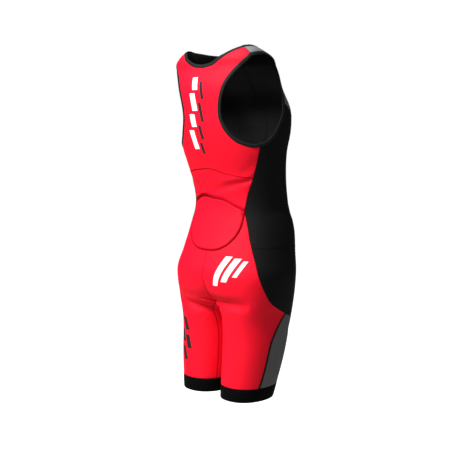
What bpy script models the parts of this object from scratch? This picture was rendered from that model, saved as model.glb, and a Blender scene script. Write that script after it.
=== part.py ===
"""Sleeveless swimrun wetsuit with thigh-length legs, filled out as if worn, with no wearer.

Metres, +Z up. The wearer faces -Y and the wearer's left is +X. The origin lies midway
between the shoulder straps, 10 mm below table height 0, from which all heights go down.

The cloth follows one smooth figure, which is a table of level sections. A place on the
figure is (height, turn): turn runs in degrees from the centre back, 0, round the wearer's
left side, 90, to the centre front, 180. Below the crotch it goes on round the left leg.
Each seam is a short table of such places, each panel is a patch between four seams, and
each wall has its outer face on the figure and its inner face a cloth's thickness inside.
"""
import math
from collections import namedtuple

import bmesh
import bpy
import numpy as np
from mathutils import Matrix

# ---- Driving sizes -------------------------------------------------------------------

ORIGIN_DOWN = 0.010          # the origin, below the level from which heights are measured
SEAM_GAP = 0.0003            # between two pieces that meet or lie on each other
WELD = 0.000001              # points closer than this are one
PANEL_WALL = 0.0024          # neoprene of the panels
POCKET_WALL = 0.0015         # thinner cloth of the back pocket
MOUTH_PROUD = 0.0006         # how far the mouth's binding stands above the pocket
BINDING_WIDTH = 0.009        # binding round neck and armholes
BINDING_WALL = 0.0034        # binding, which folds over the panel's edge
BINDING_PROUD = 0.0010       # how far a binding stands above the panels
CUFF_WALL = 0.0028
CUFF_PROUD = 0.0005
HEM_HEIGHT = -0.905
CUFF_TOP = -0.870

ZIP_HALF = 0.009             # centre front to the edge of each front panel
ZIP_END = -0.512             # the zip ends at the hip seam
TAPE_WALL = 0.0012
TAPE_SUNK = 0.0008           # tape's face, below the face of the panels
CHAIN_HALF = 0.0028
CHAIN_WALL = 0.0016
Block = namedtuple("Block", "across thick long")
SLIDER = Block(0.0092, 0.0034, 0.0130)
SLIDER_FROM = 0.009          # its top end, from the top of the zip
SLIDER_SLACK = 0.0006        # flat tape past each end of the slider
CHEEK = Block(0.0010, 0.0050, 0.0050)  # two stand on the slider and hold the pin
CHEEK_OUT = 0.0022           # middle of a cheek, from the slider's middle
PIN_HEIGHT = 0.0024          # the pin's axis, above the slider's face
PIN_RADIUS = 0.0007
TAB = Block(0.0070, 0.0016, 0.0240)    # the wide part of the pull tab
TAB_NECK = Block(0.0028, 0.0016, 0.0080)   # between the cheeks, down from the pin
TAB_HEAD_RADIUS = 0.0019
TAB_EYE_RADIUS = 0.0011

# ---- The filled-out figure -----------------------------------------------------------

Section = namedtuple("Section", "height centre_out half_width mid_y half_depth squareness")
FIGURE = (
    Section(+0.010, 0.0000, 0.0600, -0.018, 0.006, 2.4),
    Section(+0.000, 0.0000, 0.0900, -0.018, 0.016, 2.4),   # neck, at the straps
    Section(-0.018, 0.0000, 0.1300, -0.025, 0.046, 2.5),   # shoulder
    Section(-0.035, 0.0000, 0.1430, -0.034, 0.070, 2.8),
    Section(-0.060, 0.0000, 0.1480, -0.040, 0.080, 2.8),
    Section(-0.110, 0.0000, 0.1570, -0.048, 0.102, 2.4),   # shoulder blades
    Section(-0.165, 0.0000, 0.1610, -0.068, 0.120, 2.3),   # chest
    Section(-0.215, 0.0000, 0.1600, -0.073, 0.120, 2.2),
    Section(-0.270, 0.0000, 0.1520, -0.074, 0.107, 2.2),   # under the arms
    Section(-0.340, 0.0000, 0.1410, -0.088, 0.096, 2.2),
    Section(-0.405, 0.0000, 0.1370, -0.100, 0.098, 2.2),   # waist
    Section(-0.470, 0.0000, 0.1545, -0.100, 0.110, 2.2),
    Section(-0.530, 0.0050, 0.1605, -0.089, 0.118, 2.2),   # hips
    Section(-0.580, 0.0250, 0.1490, -0.079, 0.121, 2.2),   # seat
    Section(-0.620, 0.0480, 0.1200, -0.079, 0.116, 2.2),
    Section(-0.655, 0.0680, 0.0930, -0.080, 0.107, 2.2),
    Section(-0.685, 0.0765, 0.0765, -0.081, 0.102, 2.2),   # lowest point of the crotch
    Section(-0.710, 0.0770, 0.0730, -0.080, 0.098, 2.2),
    Section(-0.740, 0.0770, 0.0725, -0.077, 0.093, 2.2),   # thigh
    Section(-0.800, 0.0765, 0.0700, -0.068, 0.086, 2.2),
    Section(-0.870, 0.0730, 0.0650, -0.056, 0.076, 2.2),
    Section(-0.905, 0.0710, 0.0620, -0.050, 0.071, 2.2),   # hem
)
CROTCH_LOW = -0.685
CROTCH_SIDE = -0.662         # where the inner leg seams meet the centre seam

# Where the seams of the back cross the centre back.
NECK_CENTRE = -0.062
UNDERARM_CENTRE = -0.262
LUMBAR_CENTRE = -0.314
MOUTH_TOP = -0.382
MOUTH_LOW = -0.391
POCKET_FOOT = -0.522

# Soft folds: a ridge (+) or a trough (-) along a line that climbs with the turn.
Fold = namedtuple("Fold", "height turn climb reach spread depth")
FOLDS = (
    Fold(-0.353, 28.0, +0.00060, 24.0, 0.009, -0.0026),    # across the small of the back
    Fold(-0.340, 26.0, +0.00020, 22.0, 0.008, +0.0016),
    Fold(-0.646, 8.0, +0.00020, 26.0, 0.012, -0.0032),     # under the seat
    Fold(-0.300, 66.0, -0.00050, 16.0, 0.012, -0.0014),    # below the armhole
    Fold(-0.418, 96.0, +0.00030, 30.0, 0.012, -0.0018),    # side of the waist
    Fold(-0.432, 160.0, -0.00020, 26.0, 0.012, -0.0020),   # front of the waist
    Fold(-0.640, 190.0, -0.00070, 34.0, 0.014, -0.0028),   # from the crotch over the hip
    Fold(-0.725, 150.0, +0.00040, 40.0, 0.013, -0.0014),   # front of the thigh
)

# ---- Seams: rows of (height, turn) ---------------------------------------------------

SEAMS = {
    "neck_back": ((NECK_CENTRE, 0), (-0.056, 14), (-0.041, 25), (-0.0225, 40), (-0.014, 56)),
    "neck_front": ((-0.014, 56), (-0.0115, 86), (-0.0145, 116), (-0.0215, 145), (-0.0265, 165),
                   (-0.0275, 180)),
    "shoulder": ((-0.014, 56), (-0.0305, 60)),
    "arm_back": ((-0.0305, 60), (-0.060, 42.5), (-0.088, 32.5), (-0.120, 26.5), (-0.152, 23),
                 (-0.186, 22.5), (-0.214, 26.5), (-0.236, 33), (-0.248, 39)),
    "arm_low": ((-0.248, 39), (-0.257, 49), (-0.260, 57), (-0.258, 64)),
    "arm_under": ((-0.258, 64), (-0.253, 72), (-0.241, 80), (-0.213, 90), (-0.180, 99),
                  (-0.150, 105)),
    "arm_strap": ((-0.0305, 60), (-0.027, 76), (-0.0255, 95), (-0.028, 110)),
    "arm_front": ((-0.028, 110), (-0.035, 117), (-0.046, 121), (-0.065, 122.5), (-0.090, 121),
                  (-0.110, 118), (-0.130, 112), (-0.150, 105)),
    "chest": ((-0.150, 105), (-0.165, 115), (-0.183, 128), (-0.204, 150), (-0.215, 180)),
    "underarm_level": ((UNDERARM_CENTRE, 0), (-0.260, 20), (-0.248, 39)),
    "lumbar": ((LUMBAR_CENTRE, 0), (-0.3165, 7), (-0.3245, 18), (-0.3305, 30), (-0.334, 40),
               (-0.336, 52)),
    "mouth_top": ((MOUTH_TOP, 0), (-0.3855, 14), (-0.398, 26), (-0.411, 39.6)),
    "mouth_low": ((MOUTH_LOW, 0), (-0.3955, 14), (-0.408, 26), (-0.421, 38.9)),
    "pocket_foot": ((POCKET_FOOT, 0), (-0.521, 7), (-0.516, 15), (-0.5045, 23)),
    "pocket_side": ((-0.5045, 23), (-0.484, 30), (-0.462, 34.6), (-0.440, 37.4),
                    (-0.421, 38.9)),
    "side_high": ((-0.258, 64), (-0.292, 60), (-0.336, 52)),
    "side_waist": ((-0.336, 52), (-0.378, 44), (-0.411, 39.6)),
    "side_hip": ((-0.421, 38.9), (-0.448, 41), (-0.484, 44), (-0.512, 47.7)),
    "side_seat": ((-0.512, 47.7), (-0.544, 52), (-0.580, 56), (-0.622, 64), (-0.648, 72),
                  (-0.668, 88), (-0.684, 106)),
    "front_side": ((-0.150, 105), (-0.250, 107), (-0.350, 105), (-0.430, 104), (-0.514, 109)),
    "front_hip_side": ((-0.514, 109), (-0.596, 106), (-0.660, 109), (-0.689, 114)),
    "hip_side": ((-0.512, 47.7), (-0.511, 78), (-0.514, 109)),
    "hip_front": ((-0.514, 109), (-0.516, 145), (-0.512, 180)),
    "thigh_side": ((-0.684, 106), (-0.689, 114)),
    "thigh_front": ((-0.689, 114), (-0.702, 138), (-0.704, 165), (-0.690, 200)),
    "thigh_back": ((-0.684, 106), (-0.700, 98), (-0.718, 91), (-0.750, 81), (-0.780, 77.5),
                   (-0.814, 75.5), (-0.846, 73), (CUFF_TOP, 70)),
    "inseam_back": ((-0.684, 311), (-0.702, 306), (-0.728, 302), (-0.774, 298),
                    (CUFF_TOP, 296)),
    "inseam_front": ((-0.690, 227), (-0.730, 222), (-0.800, 218), (CUFF_TOP, 215)),
    "cuff_back": ((CUFF_TOP, -64), (CUFF_TOP, 70)),
    "cuff_side": ((CUFF_TOP, 70), (CUFF_TOP, 114)),
    "cuff_front": ((CUFF_TOP, 114), (CUFF_TOP, 215)),
    "cuff_inner": ((CUFF_TOP, 215), (CUFF_TOP, 296)),
}

# On the wearer's left the cloth of the small of the back sits higher and further round.
Shift = namedtuple("Shift", "height rise round")
LEFT_SHIFTS = (
    Shift(-0.560, 0.000, 0.0),
    Shift(-0.512, 0.000, 2.5),
    Shift(-0.470, 0.005, 3.5),
    Shift(-0.430, 0.013, 2.0),
    Shift(-0.390, 0.016, 0.5),
    Shift(-0.334, 0.012, 0.0),
    Shift(-0.300, 0.007, 0.0),
    Shift(-0.262, 0.000, 0.0),
)
Share = namedtuple("Share", "turn share")    # of that shift, none at the centre back
LEFT_SHARES = (Share(0, 0.0), Share(10, 0.36), Share(22, 0.86), Share(40, 1.0), Share(90, 1.0),
               Share(112, 0.5), Share(134, 0.0), Share(150, 0.0))

# How many steps each stretch is walked in; pieces that share a seam share its points.
STRAP_ACROSS = 6             # half the back between the armholes
UNDERARM_ACROSS = 3
BACK_ACROSS = STRAP_ACROSS + UNDERARM_ACROSS
FRONT_ACROSS = 9             # half the front
POCKET_ROWS = 4
SIDE_ACROSS = 5
INNER_ACROSS = 5
ROWS_STRAP = 3               # the front of the strap, by the armhole
ROWS_NECK = 6
ROWS_SPINE = 8
ROWS_SIDE_HIGH = 4
ROWS_SIDE_WAIST = 4
ROWS_SIDE_HIP = 4
ROWS_SEAT = 9
ROWS_THIGH = 8
ROWS_CHEST = 9
ZIP_ROWS = 22
ROD_SIDES = 16

# ---- Colours -------------------------------------------------------------------------

RED = (0.80, 0.010, 0.045)
DARK_RED = (0.30, 0.006, 0.020)
BLACK = (0.010, 0.010, 0.011)
BINDING_BLACK = (0.014, 0.016, 0.016)
CUFF_BLACK = (0.006, 0.006, 0.006)
DARK_GREY = (0.052, 0.056, 0.056)
LIGHT_GREY = (0.280, 0.290, 0.300)
METAL = (0.045, 0.045, 0.048)


# ---- The figure as functions ---------------------------------------------------------

def smooth_table(knots, values, at):
    """Cubic through the table's points, whose slopes never overshoot by much."""
    steps = np.diff(knots)
    slopes = np.diff(values) / steps
    tangents = np.empty_like(values)
    tangents[1:-1] = (slopes[:-1] * steps[1:] + slopes[1:] * steps[:-1]) / (steps[:-1] + steps[1:])
    tangents[0], tangents[-1] = slopes[0], slopes[-1]
    at = np.clip(at, knots[0], knots[-1])
    cell = np.clip(np.searchsorted(knots, at) - 1, 0, len(steps) - 1)
    span = steps[cell]
    t = (at - knots[cell]) / span
    return ((2 * t**3 - 3 * t**2 + 1) * values[cell]
            + (t**3 - 2 * t**2 + t) * span * tangents[cell]
            + (3 * t**2 - 2 * t**3) * values[cell + 1]
            + (t**3 - t**2) * span * tangents[cell + 1])


FIGURE_COLUMNS = np.array(FIGURE, dtype=float)[::-1].T


def section_at(height):
    """Centre out, half width, middle y, half depth and squareness at each height."""
    knots = FIGURE_COLUMNS[0]
    return [smooth_table(knots, column, height) for column in FIGURE_COLUMNS[1:]]


def turn_at(height, x, front=False):
    """The turn at which the figure is x metres out from its centre plane."""
    centre_out, half_width, _, _, squareness = section_at(np.asarray(height, dtype=float))
    share = np.clip((x - centre_out) / half_width, -1.0, 1.0)
    rest = (1.0 - np.abs(share)**squareness)**(1.0 / squareness)
    turn = np.degrees(np.arctan2(share, rest))
    return 180.0 - turn if front else turn


def figure_points(places):
    """Points of the smooth figure at (height, turn) places, the last axis of the array."""
    height, turn = places[..., 0], np.radians(places[..., 1])
    centre_out, half_width, mid_y, half_depth, squareness = section_at(height)
    sine, cosine = np.sin(turn), np.cos(turn)
    reach = (np.abs(sine)**squareness + np.abs(cosine)**squareness)**(-1.0 / squareness)
    return np.stack([centre_out + half_width * reach * sine,
                     mid_y + half_depth * reach * cosine, height + ORIGIN_DOWN], axis=-1)


def figure_normals(places):
    """Unit vectors that point out of the figure."""
    up, around = np.array([0.0005, 0.0]), np.array([0.0, 0.25])
    rise = figure_points(places + up) - figure_points(places - up)
    along = figure_points(places + around) - figure_points(places - around)
    normal = np.cross(rise, along)
    return normal / np.linalg.norm(normal, axis=-1, keepdims=True)


def shift_left(places):
    """Places of the mirrored half, moved to where the cloth sits on the wearer's left."""
    heights, rises, rounds = np.array(LEFT_SHIFTS, dtype=float).T
    turns, shares = np.array(LEFT_SHARES, dtype=float).T
    share = smooth_table(turns, shares, places[..., 1])
    moves = [share * smooth_table(heights, values, places[..., 0]) for values in (rises, rounds)]
    return places + np.stack(moves, axis=-1)


def fold_height(places):
    """How far the folds lift the cloth off the smooth figure."""
    height, turn = places[..., 0], places[..., 1]
    lift = np.zeros_like(height)
    for fold in FOLDS:
        aside = (turn - fold.turn + 180.0) % 360.0 - 180.0
        off = (height - fold.height - fold.climb * aside) / fold.spread
        lift += fold.depth * np.exp(-(aside / fold.reach)**2 - off**2)
    return lift


# ---- Seams and patches ---------------------------------------------------------------

def walk(places, count):
    """A smooth line through the places, in count steps of equal length on the figure."""
    places = np.asarray(places, dtype=float)
    chords = np.linalg.norm(np.diff(figure_points(places), axis=0), axis=1)
    knots = np.concatenate([[0.0], np.cumsum(chords)])
    fine = np.linspace(0.0, knots[-1], 40 * (len(places) - 1) + 1)
    line = np.stack([smooth_table(knots, places[:, c], fine) for c in (0, 1)], axis=-1)
    return even_steps(line, count)


def even_steps(line, count):
    """The same line in count steps of equal length on the figure."""
    chords = np.linalg.norm(np.diff(figure_points(line), axis=0), axis=1)
    length = np.concatenate([[0.0], np.cumsum(chords)])
    marks = np.linspace(0.0, length[-1], count + 1)
    return np.stack([np.interp(marks, length, line[:, c]) for c in (0, 1)], axis=-1)


def seam_places(name):
    """A seam's rows. Its ends at 0 and 180 degrees lie on the centre plane itself."""
    places = np.array(SEAMS[name], dtype=float)
    for turn, front in ((0.0, False), (180.0, True)):
        central = places[:, 1] == turn
        places[central, 1] = turn_at(places[central, 0], 0.0, front)
    return places


def seam(name, count):
    return walk(seam_places(name), count)


def centre_line(top, bottom, count, x=0.0, front=False):
    """A line that stays x metres out from the centre plane, at the back or the front."""
    height = np.linspace(top, bottom, 241)
    return even_steps(np.stack([height, turn_at(height, x, front)], axis=-1), count)


def chain(*lines):
    """Lines joined end to end, each shared point kept once."""
    return np.concatenate([lines[0]] + [line[1:] for line in lines[1:]])


def patch(top, bottom, start, end):
    """Rows of places that fill four seams: top to bottom, each row from start to end."""
    rows, columns = len(start), len(top)
    down = np.linspace(0.0, 1.0, rows)[:, None, None]
    across = np.linspace(0.0, 1.0, columns)[None, :, None]
    sides = (1 - across) * start[:, None] + across * end[:, None]
    ends = (1 - down) * top[None] + down * bottom[None]
    corners = ((1 - down) * ((1 - across) * top[0] + across * top[-1])
               + down * ((1 - across) * bottom[0] + across * bottom[-1]))
    return sides + ends - corners


# ---- From places to solids -----------------------------------------------------------

collection = None
cutters = None               # solids that are joined to, or cut from, the zip's metal


def clear_scene():
    for old in list(bpy.data.objects):
        bpy.data.objects.remove(old, do_unlink=True)


def material(name, colour, roughness, metallic=0.0):
    made = bpy.data.materials.new(name)
    made.use_nodes = True
    shader = made.node_tree.nodes["Principled BSDF"]
    shader.inputs["Base Color"].default_value = (*colour, 1.0)
    shader.inputs["Roughness"].default_value = roughness
    shader.inputs["Metallic"].default_value = metallic
    return made


def add_solid(name, vertices, faces, colour, roughness=0.75, metallic=0.0):
    mesh = bpy.data.meshes.new(name)
    mesh.from_pydata([tuple(v) for v in vertices], [], faces)
    solid = bmesh.new()
    solid.from_mesh(mesh)
    bmesh.ops.remove_doubles(solid, verts=solid.verts, dist=WELD)
    bmesh.ops.recalc_face_normals(solid, faces=solid.faces)
    solid.to_mesh(mesh)
    solid.free()
    mesh.shade_smooth()
    mesh.set_sharp_from_angle(angle=math.radians(50))
    made = bpy.data.objects.new(name, mesh)
    mesh.materials.append(material(name, colour, roughness, metallic))
    collection.objects.link(made)
    return made


def mirrored(points):
    return points * np.array([-1.0, 1.0, 1.0])


def join_patches(patches):
    """The places and four-cornered faces of patches, which share points where they meet."""
    places = np.concatenate([grid.reshape(-1, 2) for grid in patches])
    points = figure_points(places)
    apart = np.linalg.norm(points[:, None] - points[None], axis=-1)
    kept, index = np.unique(np.argmax(apart < WELD, axis=1), return_inverse=True)
    places = places[kept]
    points, normals = figure_points(places), figure_normals(places)
    faces, used = [], 0
    for grid in patches:
        rows, columns = grid.shape[:2]
        at = index[used:used + rows * columns].reshape(rows, columns)
        used += rows * columns
        cells = [[at[r, c], at[r, c + 1], at[r + 1, c + 1], at[r + 1, c]]
                 for r in range(rows - 1) for c in range(columns - 1)]
        facing = sum(np.dot(np.cross(points[cell[2]] - points[cell[0]],
                                     points[cell[3]] - points[cell[1]]), normals[cell[0]])
                     for cell in cells)
        faces += cells if facing > 0 else [cell[::-1] for cell in cells]
    return places, faces


def shorter_diagonals(faces, points):
    """Each four-cornered face as two triangles, so that stacked cloths are cut alike."""
    triangles = []
    for a, b, c, d in faces:
        one = np.linalg.norm(points[a] - points[c])
        other = np.linalg.norm(points[b] - points[d])
        triangles += [[a, b, c], [a, c, d]] if one < other + WELD else [[a, b, d], [b, c, d]]
    return triangles


def border_edges(faces, central):
    """Edges that one face alone has, but for those in the centre plane."""
    edges = {(here, there) for face in faces for here, there in zip(face, face[1:] + face[:1])}
    return [(here, there) for here, there in sorted(edges)
            if (there, here) not in edges and not (central[here] and central[there])]


def seam_allowance(points, normals, border):
    """Pull the border in by half the gap at a seam, along the cloth."""
    inward = {}
    for here, there in border:
        across = np.cross(normals[here] + normals[there], points[there] - points[here])
        across /= np.linalg.norm(across)
        inward.setdefault(here, []).append(across)
        inward.setdefault(there, []).append(across)
    pulled = points.copy()
    for corner, ways in inward.items():
        spread = max(1.0 + float(np.dot(ways[0], ways[-1])), 0.3)
        way = (ways[0] + ways[-1]) / spread
        pulled[corner] += way * SEAM_GAP / 2
    return pulled


def cloth_wall(patches, lift, thickness, crosses_centre, left):
    """A closed wall over patches, its outer face lift above the figure with its folds."""
    places, faces = join_patches(patches)
    central = np.abs(figure_points(places)[:, 0]) < WELD
    if left:
        places = np.where(central[:, None], places, shift_left(places))
    normals = figure_normals(places)
    if not crosses_centre:
        central[:] = False
    border = border_edges(faces, central)
    middle = figure_points(places) + normals * fold_height(places)[:, None]
    faces = shorter_diagonals(faces, middle)
    outer = seam_allowance(middle, normals, border) + normals * lift
    inner = outer - normals * thickness
    for skin in (outer, inner):
        skin[central, 0] = 0.0
        if not crosses_centre:
            skin[:, 0] = np.maximum(skin[:, 0], SEAM_GAP / 2)
    back = len(places)
    walls = faces + [[back + corner for corner in reversed(face)] for face in faces]
    walls += [[there, here, back + here, back + there] for here, there in border]
    return np.concatenate([outer, inner]), walls


def add_pair(name, patches, colour):
    """A left panel and a right one. Neither crosses the centre plane."""
    for side in "LR":
        vertices, faces = cloth_wall(patches, 0.0, PANEL_WALL, False, side == "L")
        if side == "R":
            vertices, faces = mirrored(vertices), [face[::-1] for face in faces]
        add_solid(f"{name}_{side}", vertices, faces, colour)


def add_whole(name, patches, colour, lift=0.0, thickness=PANEL_WALL):
    """A panel that crosses the centre back, where its two halves meet."""
    left, left_faces = cloth_wall(patches, lift, thickness, True, True)
    right, right_faces = cloth_wall(patches, lift, thickness, True, False)
    centre = np.abs(left[:, 0]) < WELD
    left[centre] = right[centre]
    image = [[len(left) + corner for corner in reversed(face)] for face in right_faces]
    add_solid(name, np.concatenate([left, mirrored(right)]), left_faces + image, colour)


def loft_wall(outer, inner):
    """One closed wall between two grids of points with the same rows and columns."""
    rows, columns = outer.shape[:2]
    back = rows * columns
    at = np.arange(back).reshape(rows, columns)
    faces = [[at[r, c], at[r, c + 1], at[r + 1, c + 1], at[r + 1, c]]
             for r in range(rows - 1) for c in range(columns - 1)]
    border = border_edges(faces, np.zeros(back, dtype=bool))
    faces += [[back + corner for corner in reversed(face)] for face in faces]
    faces += [[there, here, back + here, back + there] for here, there in border]
    return np.concatenate([outer.reshape(-1, 3), inner.reshape(-1, 3)]), faces


# ---- Panels --------------------------------------------------------------------------

def back_places():
    """The part between the armholes, and the wider part below them."""
    level = seam("underarm_level", STRAP_ACROSS)
    inner = chain(seam("neck_back", ROWS_NECK)[::-1],
                  centre_line(NECK_CENTRE, UNDERARM_CENTRE, ROWS_SPINE))
    above = patch(seam("shoulder", STRAP_ACROSS), level, inner,
                  seam("arm_back", ROWS_NECK + ROWS_SPINE))
    below = patch(chain(level, seam("arm_low", UNDERARM_ACROSS)), seam("lumbar", BACK_ACROSS),
                  centre_line(UNDERARM_CENTRE, LUMBAR_CENTRE, ROWS_SIDE_HIGH),
                  seam("side_high", ROWS_SIDE_HIGH))
    return above, below


def lumbar_places():
    """Three patches, one above the other: lumbar, pocket mouth, and behind the pocket."""
    lumbar, mouth_top, mouth_low, foot = (seam(name, BACK_ACROSS) for name in (
        "lumbar", "mouth_top", "mouth_low", "pocket_foot"))
    above = patch(lumbar, mouth_top, centre_line(LUMBAR_CENTRE, MOUTH_TOP, ROWS_SIDE_WAIST),
                  seam("side_waist", ROWS_SIDE_WAIST))
    mouth = np.stack([mouth_top, mouth_low])
    behind = patch(mouth_low, foot, centre_line(MOUTH_LOW, POCKET_FOOT, POCKET_ROWS),
                   seam("pocket_side", POCKET_ROWS)[::-1])
    return above, mouth, behind


def pocket_line():
    """The pocket's seam on the seat, from the centre back out to the side seam."""
    return chain(seam("pocket_foot", BACK_ACROSS), seam("pocket_side", POCKET_ROWS))


def crotch_line(top, bottom, front):
    """A stretch of the centre seam where it runs down between the legs."""
    height = np.linspace(top, bottom, 161)
    turn = turn_at(height, 0.0, front)
    return np.stack([height, turn], axis=-1)


def inseam(name, shift=0.0):
    """An inner leg seam, which starts on the centre seam between the legs."""
    front = name == "inseam_front"
    turn = float(turn_at(CROTCH_SIDE, 0.0, front))
    start = (CROTCH_SIDE, turn if front else turn + 360.0)
    return walk((start,) + SEAMS[name], ROWS_THIGH) + np.array([0.0, shift])


def seat_places():
    crotch = crotch_line(POCKET_FOOT, CROTCH_SIDE, False)
    inner = chain(even_steps(crotch, ROWS_SIDE_HIP + ROWS_SEAT), inseam("inseam_back", -360.0))
    outer = chain(seam("side_hip", ROWS_SIDE_HIP), seam("side_seat", ROWS_SEAT),
                  seam("thigh_back", ROWS_THIGH))
    return [patch(pocket_line(), seam("cuff_back", BACK_ACROSS + POCKET_ROWS), inner, outer)]


def inner_leg_places():
    front = crotch_line(CROTCH_SIDE, CROTCH_LOW, True)
    back = crotch_line(CROTCH_SIDE, CROTCH_LOW, False)[::-1] + np.array([0.0, 360.0])
    top = even_steps(chain(front, back), INNER_ACROSS)
    return [patch(top, seam("cuff_inner", INNER_ACROSS), inseam("inseam_front"),
                  inseam("inseam_back"))]


def side_places():
    back = chain(seam("side_high", ROWS_SIDE_HIGH), seam("side_waist", ROWS_SIDE_WAIST))
    back = np.concatenate([back, seam("side_hip", ROWS_SIDE_HIP)])
    front = seam("front_side", len(back) - 1)
    return [patch(seam("arm_under", SIDE_ACROSS), seam("hip_side", SIDE_ACROSS), back, front)]


def hip_side_places():
    return [patch(seam("hip_side", SIDE_ACROSS), seam("thigh_side", SIDE_ACROSS),
                  seam("side_seat", ROWS_SEAT), seam("front_hip_side", ROWS_SEAT))]


def to_zip(line_name, count):
    """A seam that ends at the zip's edge and not at the centre front."""
    line = seam(line_name, 240)
    out = figure_points(line)[:, 0]
    kept = line[out > ZIP_HALF]
    last = (line[len(kept), 0], float(turn_at(line[len(kept), 0], ZIP_HALF, True)))
    return even_steps(np.concatenate([kept, [last]]), count)


def zip_line(top, bottom, count):
    return centre_line(top, bottom, count, ZIP_HALF, front=True)


def arm_front_line():
    return chain(seam("arm_strap", ROWS_STRAP),
                 seam("arm_front", ROWS_NECK + ROWS_CHEST - ROWS_STRAP))


def chest_places():
    neck = to_zip("neck_front", ROWS_NECK)
    foot = to_zip("chest", FRONT_ACROSS)[::-1]
    inner = chain(neck, zip_line(neck[-1, 0], foot[0, 0], ROWS_CHEST))
    return [patch(seam("shoulder", FRONT_ACROSS), foot, inner, arm_front_line())]


def front_places():
    top, foot = to_zip("chest", FRONT_ACROSS), to_zip("hip_front", FRONT_ACROSS)
    outer = seam("front_side", side_places()[0].shape[0] - 1)
    return [patch(top, foot, outer, zip_line(top[-1, 0], foot[-1, 0], len(outer) - 1))]


def thigh_front_line():
    end = ((CROTCH_SIDE, float(turn_at(CROTCH_SIDE, 0.0, True))),)
    return walk(SEAMS["thigh_front"] + end, FRONT_ACROSS)


def front_hip_places():
    top = seam("hip_front", FRONT_ACROSS)
    crotch = even_steps(crotch_line(top[-1, 0], CROTCH_SIDE, True), ROWS_SEAT)
    return [patch(top, thigh_front_line(), seam("front_hip_side", ROWS_SEAT), crotch)]


def thigh_places():
    top = chain(seam("thigh_side", SIDE_ACROSS), thigh_front_line())
    foot = chain(seam("cuff_side", SIDE_ACROSS), seam("cuff_front", FRONT_ACROSS))
    return [patch(top, foot, seam("thigh_back", ROWS_THIGH), inseam("inseam_front"))]


def add_panels():
    add_whole("back_panel", back_places(), RED)
    above, mouth, behind = lumbar_places()
    add_whole("lumbar_panel", (above, mouth, behind), RED)
    add_whole("back_pocket", (behind,), RED, SEAM_GAP + POCKET_WALL, POCKET_WALL)
    add_whole("pocket_mouth_binding", (mouth,), DARK_RED,
              SEAM_GAP + POCKET_WALL + MOUTH_PROUD, POCKET_WALL + MOUTH_PROUD)
    add_pair("seat_panel", seat_places(), RED)
    add_pair("inner_leg_panel", inner_leg_places(), RED)
    add_pair("side_panel", side_places(), BLACK)
    add_pair("hip_side_panel", hip_side_places(), BLACK)
    add_pair("chest_panel", chest_places(), LIGHT_GREY)
    add_pair("front_panel", front_places(), BLACK)
    add_pair("front_hip_panel", front_hip_places(), BLACK)
    add_pair("thigh_panel", thigh_places(), DARK_GREY)


# ---- Cuffs and bindings --------------------------------------------------------------

def loft_rings(rings, closed):
    """A solid swept through rings of points. It is a hoop when closed."""
    count, size = len(rings), len(rings[0])
    vertices = np.concatenate(rings)
    faces = []
    for here in range(count if closed else count - 1):
        there = (here + 1) % count
        for side in range(size):
            beside = (side + 1) % size
            faces.append([here * size + side, here * size + beside,
                          there * size + beside, there * size + side])
    if not closed:
        faces.append(list(range(size - 1, -1, -1)))
        faces.append([(count - 1) * size + side for side in range(size)])
    return vertices, faces


def add_cuffs():
    ring = chain(seam("cuff_back", BACK_ACROSS + POCKET_ROWS), seam("cuff_side", SIDE_ACROSS),
                 seam("cuff_front", FRONT_ACROSS), seam("cuff_inner", INNER_ACROSS))[:-1]
    normals = figure_normals(ring)
    levels = [CUFF_TOP - SEAM_GAP, (CUFF_TOP + HEM_HEIGHT) / 2, HEM_HEIGHT]
    outer = [figure_points(ring + (level - CUFF_TOP, 0.0)) + normals * CUFF_PROUD
             for level in levels]
    inner = [points - normals * CUFF_WALL for points in outer]
    rings = np.stack(outer + inner[::-1], axis=1)
    add_solid("cuff_L", *loft_rings(rings, closed=True), CUFF_BLACK)
    add_solid("cuff_R", *loft_rings(mirrored(rings), closed=True), CUFF_BLACK)


# A binding's outline: how far across it, and how high above the panel's outer face.
BindingPoint = namedtuple("BindingPoint", "across height")
BINDING_OUTLINE = (
    BindingPoint(0.00, 0.3),
    BindingPoint(0.45, 1.0),
    BindingPoint(0.90, 0.5),
    BindingPoint(1.00, -0.4),
    BindingPoint(0.88, -1.4),
    BindingPoint(0.00, -1.4),
)


def binding_rings(places, closed):
    """Rings of the binding's outline along a seam line, reaching into the hole."""
    points = figure_points(places) + figure_normals(places) * fold_height(places)[:, None]
    normals = figure_normals(places)
    if closed:
        along = np.roll(points, -1, axis=0) - np.roll(points, 1, axis=0)
    else:
        along = np.gradient(points, axis=0)
    across = np.cross(along, normals)
    across /= np.linalg.norm(across, axis=1, keepdims=True)
    under = (BINDING_WALL - BINDING_PROUD) / 1.4
    outline = []
    for spot in BINDING_OUTLINE:
        reach = SEAM_GAP + spot.across * (BINDING_WIDTH - SEAM_GAP)
        rise = spot.height * (BINDING_PROUD if spot.height > 0 else under)
        outline.append(points + across * reach + normals * rise)
    return np.stack(outline, axis=1)


def armhole_line():
    line = chain(seam("arm_back", ROWS_NECK + ROWS_SPINE), seam("arm_low", UNDERARM_ACROSS),
                 seam("arm_under", SIDE_ACROSS), arm_front_line()[::-1])
    return line[:-1]


def add_bindings():
    rings = binding_rings(armhole_line(), closed=True)
    add_solid("armhole_binding_L", *loft_rings(rings, closed=True), BINDING_BLACK)
    add_solid("armhole_binding_R", *loft_rings(mirrored(rings), closed=True), BINDING_BLACK)
    neck = chain(seam("neck_back", ROWS_NECK), to_zip("neck_front", ROWS_NECK))
    half = binding_rings(neck, closed=False)
    half[0, :, 0] = 0.0
    both = np.concatenate([mirrored(half[:0:-1]), half])
    add_solid("neck_binding", *loft_rings(both, closed=False), BINDING_BLACK)


# ---- The zip -------------------------------------------------------------------------

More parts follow.
